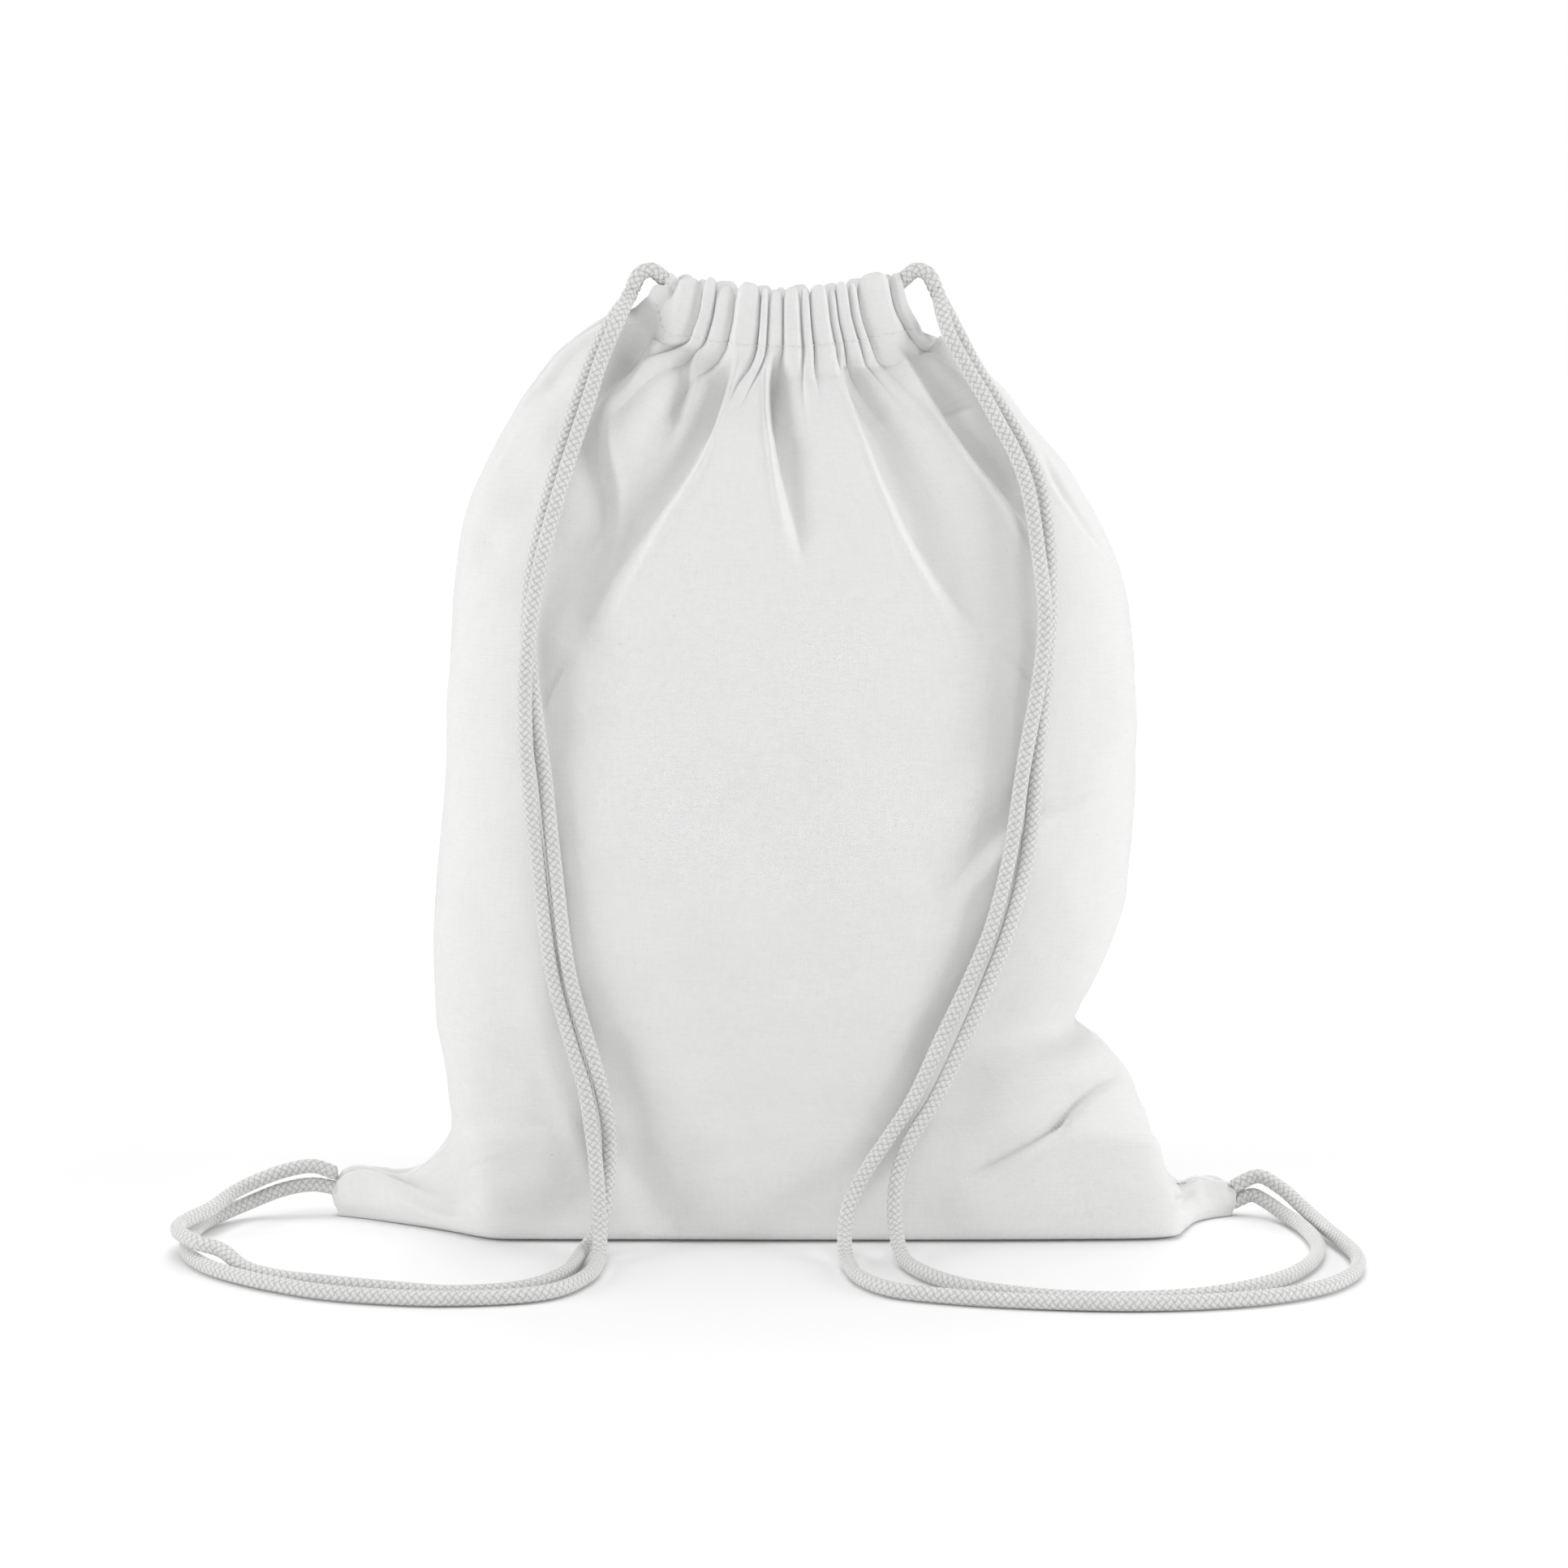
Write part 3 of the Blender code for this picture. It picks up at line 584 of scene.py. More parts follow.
# Creases of the ears and of the box's upright edges, which lie below the folds of the front
EAR_FOLDS = (
    (((-158, 15.5), (-147, 11.5), (-135, 10.5), (-128, 16)), (0.5, 1.5, 2.0, 0.3),
     (2.5, 3, 3, 3), (5, 6, 6, 5)),
    (((-176, 14), (-170, 10), (-163, 8)), (0.6, 1.1, 0.2), (2, 3, 4), (3, 4, 4)),
    (((165, 17), (164, 11), (162.5, 6)), (1.5, 3.6, 0.5), (3, 3, 3), (3, 4, 4)),
    (((180, 13), (175, 9), (171, 8)), (0.5, 1.0, 0.2), (2, 3, 3), (2, 3, 3)),
)

# Folds of the front: points (x, z), then depth, width on its left and width on its right.
# A positive depth is a valley, a negative one a ridge.
FRONT_FOLDS = (
    # short dark valley under the left pleat
    (((-36, 366), (-38, 352), (-43, 335), (-52, 318)), (3.0, 4.0, 3.5, 0.3), (5, 7, 9, 10), (2.2, 2.4, 3, 4)),
    # broad valley from the mouth to the lower left
    (((-21, 366), (-24, 345), (-35, 318), (-54, 290), (-73, 262), (-84, 240)),
     (3.2, 4.7, 5.4, 5.0, 3.4, 0.5), (5, 10, 16, 20, 24, 26), (1.6, 1.7, 2.2, 3.2, 5.5, 10)),
    # short valley right of the middle
    (((-4, 362), (-5, 342), (-2, 318), (4, 292), (12, 266)), (3.4, 5.2, 5.2, 3.0, 0.2),
     (1.5, 1.5, 1.8, 2.8, 5), (6, 9, 12, 14, 14)),
    # big valley to the right
    (((22, 356), (30, 334), (41, 306), (55, 278), (70, 257), (84, 242)),
     (2.8, 4.1, 4.0, 3.0, 1.9, 0.3), (1.7, 1.7, 1.9, 2.4, 3.6, 7), (8, 14, 22, 28, 30, 30)),
    # valley outside the right strap
    (((46, 362), (60, 340), (76, 318), (92, 298), (100, 284)), (2.5, 4.0, 4.2, 3.4, 0.5),
     (1.6, 1.6, 1.8, 2.2, 3), (6, 8, 11, 12, 12)),
    # valley behind the left strap
    (((-73, 342), (-76, 322), (-72, 300), (-76, 284), (-95, 266)), (0.3, 2.6, 2.8, 2.2, 0.4),
     (9, 10, 11, 11, 11), (3, 3.4, 3.4, 5, 8)),
    # hollow at the left end of the mouth
    (((-47, 370), (-53, 362), (-61, 353), (-72, 341)), (2.5, 4.6, 4.6, 0.5),
     (4, 6, 8, 10), (1.8, 2.2, 2.6, 4)),
    # faint hollow down the middle
    (((-10, 255), (-16, 225), (-22, 190)), (0.3, 1.6, 0.2), (18, 20, 22), (18, 20, 22)),
    # crease to the lower right corner
    (((136, 66), (118, 56), (104, 44), (82, 31), (62, 25)), (1.0, 1.4, 1.5, 1.3, 0.3),
     (10, 14, 17, 16, 14), (1.8, 1.9, 2.1, 2.6, 5)),
    (((143, 61), (132, 63), (118, 56.5), (104, 44.5), (82, 31.5), (66, 26)), (0.5, 0.9, 1.0, 1.0, 0.9, 0.2),
     (1.6, 1.6, 1.6, 1.8, 1.8, 1.6), (1.6, 1.6, 1.6, 1.8, 1.8, 1.6)),
    # seams that turn in front of the silhouette
    (((98, 325), (107, 305), (118, 289), (129, 275)), (0.2, 0.9, 0.9, 0.2),
     (1.2, 1.2, 1.2, 1.2), (1.2, 1.2, 1.2, 1.2)),
    (((-98, 345), (-109, 326), (-120, 305), (-128, 286)), (0.2, 0.8, 0.8, 0.2),
     (1.2, 1.2, 1.2, 1.2), (1.2, 1.2, 1.2, 1.2)),
    # pinch at the right dent
    (((119, 84), (102, 80), (84, 70)), (1.4, 1.2, 0.2), (9, 12, 14), (7, 9, 12)),
    # dimple beside the right strap
    (((116, 180), (102, 177), (86, 168), (70, 152), (55, 137)), (0.3, 1.5, 1.8, 1.4, 0.2),
     (7, 9, 11, 12, 12), (2.6, 2.8, 3.4, 4.5, 6)),
    # soft hollow along the left strap, down to the floor
    (((-88, 120), (-80, 80), (-66, 42), (-48, 12)), (0.3, 2.4, 3.4, 1.6), (8, 8, 8, 8), (16, 18, 18, 16)),
    # creases of the upper left side
    (((-132, 270), (-118, 282), (-100, 296)), (0.3, 2.2, 0.3), (7, 9, 9), (5, 7, 7)),
    (((-104, 330), (-92, 345), (-80, 352)), (0.4, 2.2, 0.3), (5, 6, 6), (4, 5, 5)),
    # lower right roll
    (((100, 120), (82, 96), (74, 70), (78, 46)), (0.3, 2.0, 2.0, 0.3), (16, 18, 18, 16), (14, 16, 16, 14)),
)

BACK_FOLDS = (
    (((-30, 362), (-38, 340), (-52, 312), (-66, 285), (-78, 255)), (4, 8, 9, 7, 0.5),
     (6, 8, 12, 18, 22), (7, 10, 14, 18, 22)),
    (((-8, 360), (-12, 335), (-18, 305), (-16, 270)), (4, 7, 6, 0.5), (6, 8, 11, 14), (5, 7, 9, 12)),
    (((12, 360), (18, 335), (30, 308), (38, 275), (40, 240)), (4, 8, 8, 6, 0.5),
     (5, 7, 9, 12, 16), (7, 11, 15, 20, 24)),
    (((34, 362), (48, 340), (66, 312), (84, 285)), (4, 8, 7, 0.5), (5, 7, 9, 12), (7, 9, 12, 14)),
    (((-62, 350), (-78, 326), (-92, 300)), (2, 6, 0.5), (7, 9, 10), (6, 7, 9)),
    (((100, 240), (96, 200), (104, 150), (92, 110)), (0.3, 2.5, 3, 0.3), (14, 16, 16, 14), (18, 20, 20, 18)),
    (((-98, 200), (-90, 150), (-96, 100), (-104, 50)), (0.3, 2.5, 3, 0.3),
     (16, 18, 18, 14), (16, 18, 18, 14)),
    (((121, 84), (100, 78), (74, 62)), (6, 4, 0.3), (10, 12, 12), (8, 10, 12)),
    (((20, 150), (0, 120), (-30, 105)), (0.3, 1.6, 0.3), (16, 18, 18), (18, 20, 20)),
    (((60, 60), (30, 40), (-10, 32)), (0.3, 2, 0.3), (8, 10, 10), (12, 14, 14)),
)

FOLD_DEPTH = 1.9            # multiplies the depth of every fold on the front and the back
FOLD_RIM = 0.15             # height of the swelling beside a fold, as a share of its depth


def fold_field(x, z, folds):
    """Depth of all the folds together at each point."""
    field = np.zeros_like(x)
    for path, depths, lefts, rights in folds:
        line = smooth_line(path, 10)
        share = np.linspace(0, 1, len(line))
        knots = np.linspace(0, 1, len(path))
        depth = np.interp(share, knots, depths) * FOLD_DEPTH
        left = np.interp(share, knots, lefts)
        right = np.interp(share, knots, rights)
        nearest = np.full(x.shape, 1e9)
        value = np.zeros_like(x)
        for k in range(len(line) - 1):
            start, step = line[k], line[k + 1] - line[k]
            dx, dz = x - start[0], z - start[1]
            t = np.clip((dx * step[0] + dz * step[1]) / step.dot(step), 0, 1)
            side = step[0] * dz - step[1] * dx
            dx, dz = dx - t * step[0], dz - t * step[1]
            distance = dx * dx + dz * dz
            d = depth[k] + (depth[k + 1] - depth[k]) * t
            width = np.where(side > 0, right[k] + (right[k + 1] - right[k]) * t,
                             left[k] + (left[k + 1] - left[k]) * t)
            reach = distance / (width * width)
            here = d * (np.exp(-reach) - FOLD_RIM * np.exp(-((np.sqrt(reach) - 1.9) / 0.6) ** 2))
            closer = distance < nearest
            nearest = np.where(closer, distance, nearest)
            value = np.where(closer, here, value)
        field += value
    return field


# Pleats of the gathered mouth: the place of each valley and the height of the ridge after it
FRONT_PLEATS = (
    (-52, 2.0), (-42, 2.6), (-30.5, 4.4), (-25.5, 1.6), (-18.2, 4.6), (-8.4, 2.8), (-5.6, 1.8), (-0.3, 3.2),
    (6.2, 2.4), (9.4, 3.4), (16.6, 1.6), (19.2, 3.6), (24.2, 2.4), (27.4, 4.8), (40.5, 2.0), (51, 2.0),
)
BACK_PLEATS = (
    (-52, 2.0), (-43, 3.4), (-34, 2.2), (-28.5, 4.2), (-16.2, 2.0), (-12.4, 3.6), (-3.4, 2.6), (1.2, 4.0),
    (10.6, 1.8), (13.8, 3.2), (22.2, 4.4), (33.5, 2.4), (38, 2.6), (43.5, 2.0), (51, 2.0),
)

MOUTH_HALF_WIDTH = 45.0
PLEAT_BASE = 1.9            # height of every pleat, before its own height is added
PLEAT_GROWTH = 0.45
PLEAT_SINK = 0.8            # how far the valleys lie below the tunnel's smooth face
PLEAT_CREST = 0.24          # share of a pleat's width at which it is highest
PLEAT_LEAN = 0.20           # share of a pleat's width by which its crest leans over


def pleat_wave(u, pleats):
    """Height and sideways lean of the gathered pleats over u from 0 to 1; valleys are narrow."""
    x = (u * 2 - 1) * MOUTH_HALF_WIDTH
    knots = np.array([place for place, _ in pleats])
    phase = np.interp(x, knots, np.arange(len(knots)))
    number = np.clip(phase.astype(int), 0, len(pleats) - 2)
    height = np.array([size for _, size in pleats])[number]
    share = phase - number
    turned = np.where(number % 2 == 0, share, 1 - share)
    steep = np.sin(np.pi / 2 * np.clip(turned / PLEAT_CREST, 0, 1)) ** 0.8
    gentle = 1 - np.clip((turned - PLEAT_CREST) / (1 - PLEAT_CREST), 0, 1) ** 2.6
    crown = np.where(turned < PLEAT_CREST, steep, gentle)
    gap = np.diff(knots)[number]
    lean = np.where(number % 2 == 0, 1.0, -1.0) * np.sin(np.pi * share) * gap * PLEAT_LEAN
    return (PLEAT_BASE + PLEAT_GROWTH * height) * crown - PLEAT_SINK, lean


def noise_field(seed, x, z, waves, shortest, longest):
    """Smooth unevenness made of a few sine waves in random directions."""
    random = np.random.RandomState(seed)
    field = np.zeros_like(x)
    for _ in range(waves):
        angle = random.uniform(0, np.pi)
        length = random.uniform(shortest, longest)
        phase = random.uniform(0, 2 * np.pi)
        field += np.sin(2 * np.pi * (x * np.cos(angle) + z * np.sin(angle)) / length + phase)
    return field / math.sqrt(waves)


def smooth_across(values, reach):
    """Values averaged over their neighbours along a row."""
    weights = np.hanning(2 * reach + 3)[1:-1]
    padded = np.pad(values, ((0, 0), (reach, reach)), mode="edge")
    return np.stack([np.convolve(row, weights / weights.sum(), "valid") for row in padded])


LEFT_END_LIFT = 13.0        # how far the left end of the tunnels is drawn up over the cord
LEFT_END_SHARE = 0.07       # share of the mouth's width over which it rises
SMALL_FADE = 16             # distance below the tunnel over which single pleats die out
LARGE_FADE = 46             # and over which the broad gather does
GATHER_REACH = 9            # neighbours on each side that share in the broad gather
GATHER_HEIGHT = 1.25
# Unevenness: height, number of waves, shortest and longest wave
BROAD_WAVES = (0.9, 7, 60, 130)
FINE_WAVES = (0.25, 9, 22, 45)
TOP_GROWTH = 0.45           # how much higher the mouth's edge stands over a higher pleat
LOWEST_CLOTH = 0.5


def make_grid(folds, pleats, seed):
    """A panel's cloth as rows of points, with pleats, folds and unevenness, and each row's distance."""
    rows = key_rows()
    places = np.arange(0, HEM_LINE + 0.01, ROW_STEP)
    grid = through_rows(rows, places)
    normals = outward_normals(grid)
    u = np.linspace(0, 1, COLUMNS + 1)[None, :]
    v = places[:, None]
    x, z = grid[:, :, 0], grid[:, :, 2]
    height, lean = pleat_wave(u, pleats)
    below = np.maximum(STITCH_LINE - v, 0)
    small = np.exp(-(below / SMALL_FADE) ** 1.3)
    large = np.exp(-(below / LARGE_FADE) ** 1.4)
    broad = smooth_across(height, GATHER_REACH)
    lift = GATHER_HEIGHT * (large * broad + small * (height - broad))
    edge = smoothstep(np.minimum(u, 1 - u), 0, 0.02)
    faces_front = smoothstep(-grid[:, :, 1], 4, 30) + large * (v > 380)
    faces_front = np.clip(faces_front, 0, 1) * (v > 50) * smoothstep(STITCH_LINE + 4 - v, 0, 22)
    sink = fold_field(x, z, folds) * faces_front
    on_ears = smoothstep(v, 50, 60) * smoothstep(96 - v, 0, 8)
    sink = sink + fold_field(x, z, EAR_FOLDS) / FOLD_DEPTH * on_ears
    on_body = smoothstep(v, 50, 80) * smoothstep(STITCH_LINE - v, 0, 60) * edge
    broad_waves = BROAD_WAVES[0] * noise_field(seed, x, z, *BROAD_WAVES[1:])
    fine_waves = FINE_WAVES[0] * noise_field(seed + 1, x, z, *FINE_WAVES[1:])
    uneven = on_body * (broad_waves + fine_waves)
    held = np.maximum(edge, smoothstep(v, STITCH_LINE - 4, STITCH_LINE + 2))
    grid = grid + normals * (lift * held - sink + uneven)[:, :, None]
    grid[:, :, 0] += lean * small * held * smoothstep(np.minimum(u, 1 - u), 0.03, 0.14)
    grid[:, :, 2] += TOP_GROWTH * (height - 1) * smoothstep(v, FOLD_LINE - 10, FOLD_LINE) * edge
    drawn_up = smoothstep(v, STITCH_LINE - 8, STITCH_LINE) * smoothstep(FOLD_LINE - 2 - v, 0, 16)
    grid[:, :, 2] += LEFT_END_LIFT * drawn_up * smoothstep(LEFT_END_SHARE - u, 0, LEFT_END_SHARE)
    grid[:, :, 2] = np.maximum(grid[:, :, 2], LOWEST_CLOTH)
    return grid, places


CORD_CLEARANCE = 0.6
CORD_BLOCK = 60             # points of the cords that are tested together


def clear_of_cords(grid, lines):
    """Moves cloth that a cord passes through back behind the cord."""
    clearance = CORD_RADIUS + CORD_CLEARANCE
    points = np.vstack([line[::3] for line in lines])
    for first in range(0, len(points), CORD_BLOCK):
        block = points[first:first + CORD_BLOCK]
        low, high = block.min(0) - clearance, block.max(0) + clearance
        flat = grid.reshape(-1, 3)
        near = np.where(np.all((flat > low) & (flat < high), axis=1))[0]
        if not len(near):
            continue
        gap = flat[near][:, None, :] - block[None]
        distance = np.linalg.norm(gap, axis=2)
        closest = distance.argmin(1)
        reach = distance[np.arange(len(near)), closest]
        inside = reach < clearance
        centre = block[closest[inside]]
        flat[near[inside]] = centre + (flat[near[inside]] - centre) / reach[inside][:, None] * clearance
    return grid


def grid_object(name, grid, places, flip):
    """A sheet of cloth from a grid of points, with its threads' directions stored for the weave."""
    rows, columns = grid.shape[:2]
    index = np.arange(rows * columns).reshape(rows, columns)
    a, b = index[:-1, :-1].ravel(), index[:-1, 1:].ravel()
    c, d = index[1:, 1:].ravel(), index[1:, :-1].ravel()
    faces = np.stack([a, d, c, b] if flip else [a, b, c, d], 1)
    mesh = bpy.data.meshes.new(name)
    mesh.from_pydata((grid.reshape(-1, 3) * MM).tolist(), [], faces.tolist())
    threads = np.empty((rows, columns, 2))
    threads[:, :, 0] = np.linspace(0, PANEL_WIDTH, columns)[None, :]
    threads[:, :, 1] = places[:, None] * MM
    layer = mesh.uv_layers.new(name="threads")
    layer.data.foreach_set("uv", threads.reshape(-1, 2)[faces.ravel()].ravel())
    mesh.shade_smooth()
    piece = add_object(name, mesh)
    thickness = piece.modifiers.new("Thickness", "SOLIDIFY")
    thickness.thickness = CLOTH_THICKNESS * MM
    thickness.offset = 0.0
    return piece


# ---- sewing

STITCH_LENGTH = 2.4
STITCH_GAP = 0.7
STITCH_RADIUS = 0.24
STITCH_END = 6              # columns left unsewn at each end of a tunnel
BARTACK_LOW = {"left": 4.5, "right": 3.0}
BARTACK_TALL = 9.0
BARTACK_TURNS = 13
BARTACK_REACH = (1.2, 1.5)  # across the corner and through the cloth
BARTACK_RADIUS = 0.32
SEAM_RADIUS = 1.35
SEAM_SETBACK = 0.4          # how far a side seam lies inside the cloth's edge
SEAM_START = 52             # distance along the cloth where each side seam starts
SLIT_LINE = 403.0           # and where it ends


def thread_curve(name, radius, material):
    """An empty curve that makes round threads."""
    curve = bpy.data.curves.new(name, "CURVE")
    curve.dimensions = "3D"
    curve.bevel_depth = radius * MM
    curve.bevel_resolution = 2
    curve.use_fill_caps = True
    curve.materials.append(material)
    return curve


def add_to_bag(name, data):
    piece = add_object(name, data)
    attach(piece, "root")
    return piece


def make_cloth(lines, material, thread):
    """Both panels, each with its hem and its row of stitches, and the side seams between them."""
    seams = []
    for side, flip, folds, pleats, seed in (
            ("front", 1, FRONT_FOLDS, FRONT_PLEATS, 11), ("back", -1, BACK_FOLDS, BACK_PLEATS, 31)):
        grid, places = make_grid(folds, pleats, seed)
        turned = clear_of_cords(grid * (1, flip, 1), lines)
        seams.append(turned[:, (0, -1)])
        fold = int(round(FOLD_LINE / ROW_STEP))
        body = grid_object(side + "_cloth", turned[:fold + 1], places[:fold + 1], flip < 0)
        hem = grid_object(side + "_hem", turned[fold:], places[fold:], flip < 0)
        for piece, node in ((body, side + "_panel"), (hem, side + "_tunnel")):
            piece.data.materials.append(material)
            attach(piece, "root")
            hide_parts(node)
        sewn = int(round(STITCH_LINE / ROW_STEP))
        row = turned[sewn, STITCH_END:-STITCH_END]
        outward = outward_normals(turned)[sewn, STITCH_END:-STITCH_END] * flip
        stitches = make_stitches(side + "_tunnel_stitches", row, outward, thread)
        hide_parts(side + "_tunnel_stitch")
    make_seams(seams, places, material)


def make_stitches(name, line, outward, material):
    """A row of stitches on a line of the cloth: short threads that rise and dip into it."""
    steps = np.linalg.norm(np.diff(line, axis=0), axis=1)
    along = np.concatenate([[0], np.cumsum(steps)])
    curve = thread_curve(name, STITCH_RADIUS, material)
    start = STITCH_GAP
    while start + STITCH_LENGTH < along[-1]:
        spline = curve.splines.new("POLY")
        spline.points.add(4)
        for number, spline_point in enumerate(spline.points):
            place = start + STITCH_LENGTH * number / 4
            point = [np.interp(place, along, line[:, k]) for k in range(3)]
            normal = np.array([np.interp(place, along, outward[:, k]) for k in range(3)])
            rise = CLOTH_THICKNESS / 2 + (STITCH_RADIUS if number in (1, 2, 3) else -STITCH_RADIUS)
            spline_point.co = (*((np.array(point) + normal * rise) * MM), 1.0)
        start += STITCH_LENGTH + STITCH_GAP
    piece = add_to_bag(name, curve)
    return piece


def make_bartacks(material):
    """Close zigzag stitching over each corner tip, round the place where its cord is sewn in."""
    for side in ("left", "right"):
        name = side + "_corner_stitching"
        low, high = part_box(side + "_corner_bartack")
        curve = thread_curve(name, BARTACK_RADIUS, material)
        spline = curve.splines.new("POLY")
        spline.points.add(BARTACK_TURNS * 4)
        for number, spline_point in enumerate(spline.points):
            share = number / (BARTACK_TURNS * 4)
            angle = number * math.pi / 2
            x = (low[0] + high[0]) / 2 + math.cos(angle) * BARTACK_REACH[0] * MM
            y = math.sin(angle) * BARTACK_REACH[1] * MM
            z = BARTACK_LOW[side] * MM + share * BARTACK_TALL * MM
            spline_point.co = (x, y, z, 1.0)
        piece = add_to_bag(name, curve)
        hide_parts(side + "_corner_bartack")


def make_tube(name, line, radius, material):
    """A round closed tube on a line in millimetres."""
    curve = thread_curve(name, radius, material)
    spline = curve.splines.new("POLY")
    spline.points.add(len(line) - 1)
    for spline_point, point in zip(spline.points, line):
        spline_point.co = (*(point * MM), 1.0)
    return add_to_bag(name, curve)


def make_seams(seams, places, material):
    """The rolled seam up each side, from the ear's tip to the slit beside the mouth."""
    middle = (seams[0] + seams[1]) / 2
    sewn = middle[(places > SEAM_START) & (places < SLIT_LINE)]
    for column, side in ((0, "left"), (1, "right")):
        inward = (1 if column == 0 else -1, 0, 0)
        line = sewn[:, column] + np.array(inward) * SEAM_SETBACK
        seam = make_tube(side + "_seam", line, SEAM_RADIUS, material)
        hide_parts(side + "_side_seam")


# ---- materials

CLOTH_COLOUR = (0.83, 0.83, 0.825)
CORD_COLOUR = (0.75, 0.75, 0.74)
THREAD_COLOUR = (0.80, 0.80, 0.79)
WEAVE_PITCH = 0.78 * MM     # between neighbouring threads of the plain weave


class Nodes:
    """A material's node tree with short ways to add nodes that are joined to each other."""

    def __init__(self, name, roughness):
        self.material = bpy.data.materials.new(name)
        self.material.use_nodes = True
        self.tree = self.material.node_tree
        self.shader = self.tree.nodes["Principled BSDF"]
        self.shader.inputs["Roughness"].default_value = roughness
        self.shader.inputs["Specular IOR Level"].default_value = 0.12
        self.shader.inputs["Sheen Weight"].default_value = 0.12
        self.shader.inputs["Sheen Roughness"].default_value = 0.6

    def join(self, value, socket):
        if hasattr(value, "is_output"):
            self.tree.links.new(value, socket)
        else:
            socket.default_value = value

    def math(self, operation, first, second=0.0):
        node = self.tree.nodes.new("ShaderNodeMath")
        node.operation = operation
        self.join(first, node.inputs[0])
        self.join(second, node.inputs[1])
        return node.outputs["Value"]

    def uv(self, name):
        """The two coordinates of a UV map."""
        node = self.tree.nodes.new("ShaderNodeUVMap")
        node.uv_map = name
        split = self.tree.nodes.new("ShaderNodeSeparateXYZ")
        self.tree.links.new(node.outputs["UV"], split.inputs["Vector"])
        return split.outputs["X"], split.outputs["Y"]

    def noise(self, scale, detail=2.0, stretch=None, uv=None):
        """Noise in the object's own space, or in a UV map stretched along its axes."""
        place = self.tree.nodes.new("ShaderNodeTexCoord").outputs["Object"]
        if uv:
            node = self.tree.nodes.new("ShaderNodeUVMap")
            node.uv_map = uv
            place = node.outputs["UV"]
        if stretch:
            mapping = self.tree.nodes.new("ShaderNodeMapping")
            mapping.inputs["Scale"].default_value = stretch
            self.tree.links.new(place, mapping.inputs["Vector"])
            place = mapping.outputs["Vector"]
        node = self.tree.nodes.new("ShaderNodeTexNoise")
        node.inputs["Scale"].default_value = scale
        node.inputs["Detail"].default_value = detail
        self.tree.links.new(place, node.inputs["Vector"])
        return node.outputs["Fac"]

    def ramp(self, value, low, high, dark, light):
        """A value from low to high turned into a shade from dark to light."""
        node = self.tree.nodes.new("ShaderNodeMapRange")
        self.tree.links.new(value, node.inputs["Value"])
        for name, number in (("From Min", low), ("From Max", high), ("To Min", dark), ("To Max", light)):
            node.inputs[name].default_value = number
        return node.outputs["Result"]

    def tint(self, colour, shade):
        """The shader's colour: a colour multiplied by a shade."""
        node = self.tree.nodes.new("ShaderNodeVectorMath")
        node.operation = "SCALE"
        node.inputs[0].default_value = colour
        self.tree.links.new(shade, node.inputs["Scale"])
        self.tree.links.new(node.outputs["Vector"], self.shader.inputs["Base Color"])

    def bump(self, height, distance, strength=1.0):
        node = self.tree.nodes.new("ShaderNodeBump")
        node.inputs["Strength"].default_value = strength
        node.inputs["Distance"].default_value = distance
        self.tree.links.new(height, node.inputs["Height"])
        self.tree.links.new(node.outputs["Normal"], self.shader.inputs["Normal"])


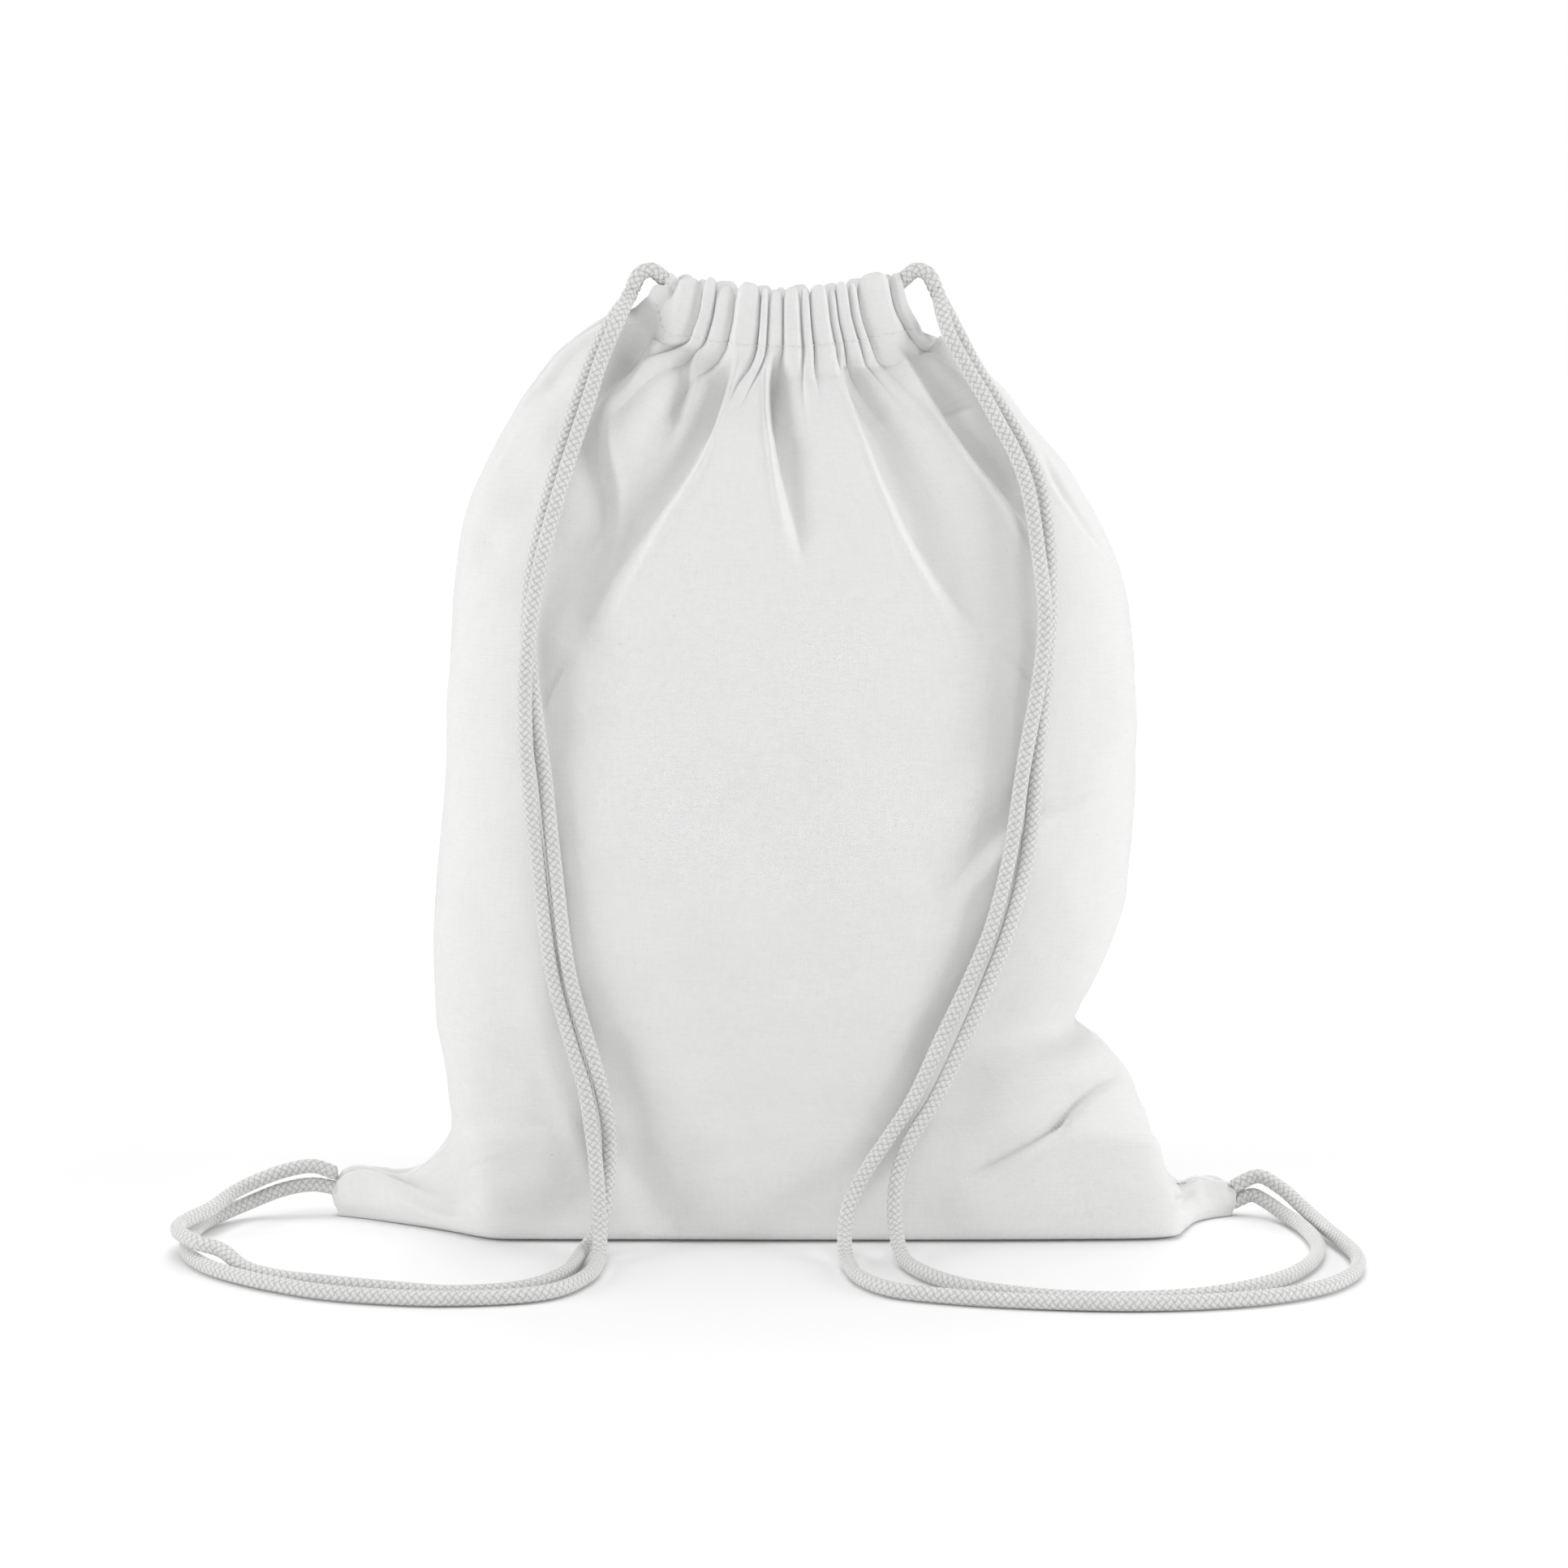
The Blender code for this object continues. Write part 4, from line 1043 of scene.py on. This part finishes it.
def cloth_material():
    """Plain-woven cotton: crossing threads of uneven thickness, soft patches and a few dark specks; the
    colour follows the weave's relief, partly the yarn's own uneven tone and partly painted shade in its
    hollows and painted highlight on its crests.
    """
    n = Nodes("cotton_cloth", 0.92)
    across, along = n.uv("threads")
    turns = 2 * math.pi / WEAVE_PITCH
    drift = n.math("MULTIPLY", n.noise(60.0, 3.0), 5.0)
    warp = n.math("SINE", n.math("ADD", n.math("MULTIPLY", across, turns), drift))
    weft = n.math("SINE", n.math("ADD", n.math("MULTIPLY", along, turns), drift))
    weave = n.math("MULTIPLY", warp, weft)
    slub_across = n.noise(1.0, 3.0, (90.0, 1300.0, 1.0), "threads")
    slub_along = n.noise(1.0, 3.0, (1300.0, 90.0, 1.0), "threads")
    slubs = n.math("ADD", slub_across, slub_along)
    grain = n.noise(1500.0, 2.0)
    uneven = n.math("ADD", slubs, n.math("MULTIPLY", grain, 0.7))
    height = n.math("ADD", n.math("MULTIPLY", weave, 0.35), uneven)
    patches = n.ramp(n.noise(14.0, 3.0), 0.3, 0.7, 0.985, 1.012)
    # the yarn's own uneven tone together with painted shade in the weave's hollows and painted highlight on
    # its crests, read from the same relief as the bump
    threads = n.ramp(height, 0.7, 2.1, 0.93, 1.045)
    specks = n.ramp(n.noise(800.0, 1.0), 0.79, 0.81, 1.0, 0.76)
    n.tint(CLOTH_COLOUR, n.math("MULTIPLY", n.math("MULTIPLY", patches, threads), specks))
    n.bump(height, 0.16 * MM, 0.55)
    return n.material


def cord_material():
    """Round braid: plaits that pass over and under each other, with painted shade in the gaps between them, a
    painted highlight on their crowns, and fine yarns.
    """
    n = Nodes("cotton_cord", 0.95)
    turn, along = n.uv("braid")
    crowns = []
    numbers = []
    for direction in ("ADD", "SUBTRACT"):
        place = n.math("MULTIPLY", n.math(direction, turn, along), float(BRAID_PLAITS))
        numbers.append(n.math("FLOOR", place))
        crowns.append(n.math("SINE", n.math("MULTIPLY", n.math("FRACT", place), math.pi)))
    odd = n.math("FLOORED_MODULO", n.math("ADD", *numbers), 2.0)
    even = n.math("SUBTRACT", 1.0, odd)
    plait = n.math("ADD", n.math("MULTIPLY", crowns[0], even), n.math("MULTIPLY", crowns[1], odd))
    yarn = n.noise(1700.0, 2.0)
    height = n.math("ADD", n.math("POWER", plait, 0.6), n.math("MULTIPLY", yarn, 0.35))
    # painted shade: the colour darkens into the gaps between plaits, where the braid's relief lies in shade,
    # and lightens a little on their crowns as a painted highlight
    shade = n.ramp(n.math("POWER", plait, 0.5), 0.15, 0.95, 0.66, 1.04)
    fleck = n.ramp(yarn, 0.35, 0.7, 0.94, 1.05)
    patches = n.ramp(n.noise(40.0, 2.0), 0.3, 0.7, 0.97, 1.02)
    n.tint(CORD_COLOUR, n.math("MULTIPLY", n.math("MULTIPLY", shade, fleck), patches))
    n.bump(height, 0.35 * MM, 0.8)
    return n.material


def thread_material():
    """Sewing thread: fine twisted ply."""
    n = Nodes("cotton_thread", 0.9)
    ply = n.noise(1.0, 2.0, (900.0, 3000.0, 3000.0))
    n.tint(THREAD_COLOUR, n.ramp(ply, 0.35, 0.65, 0.9, 1.05))
    n.bump(ply, 0.1 * MM, 0.6)
    return n.material


def main():
    make_camera()
    cloth, cord, thread = cloth_material(), cord_material(), thread_material()
    lines = make_cords(cord)
    make_cloth(lines, cloth, thread)
    make_bartacks(thread)
    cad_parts["bottom_seam"].data.materials.clear()
    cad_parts["bottom_seam"].data.materials.append(thread)
    make_floor()
    make_world()
    make_lights()


main()
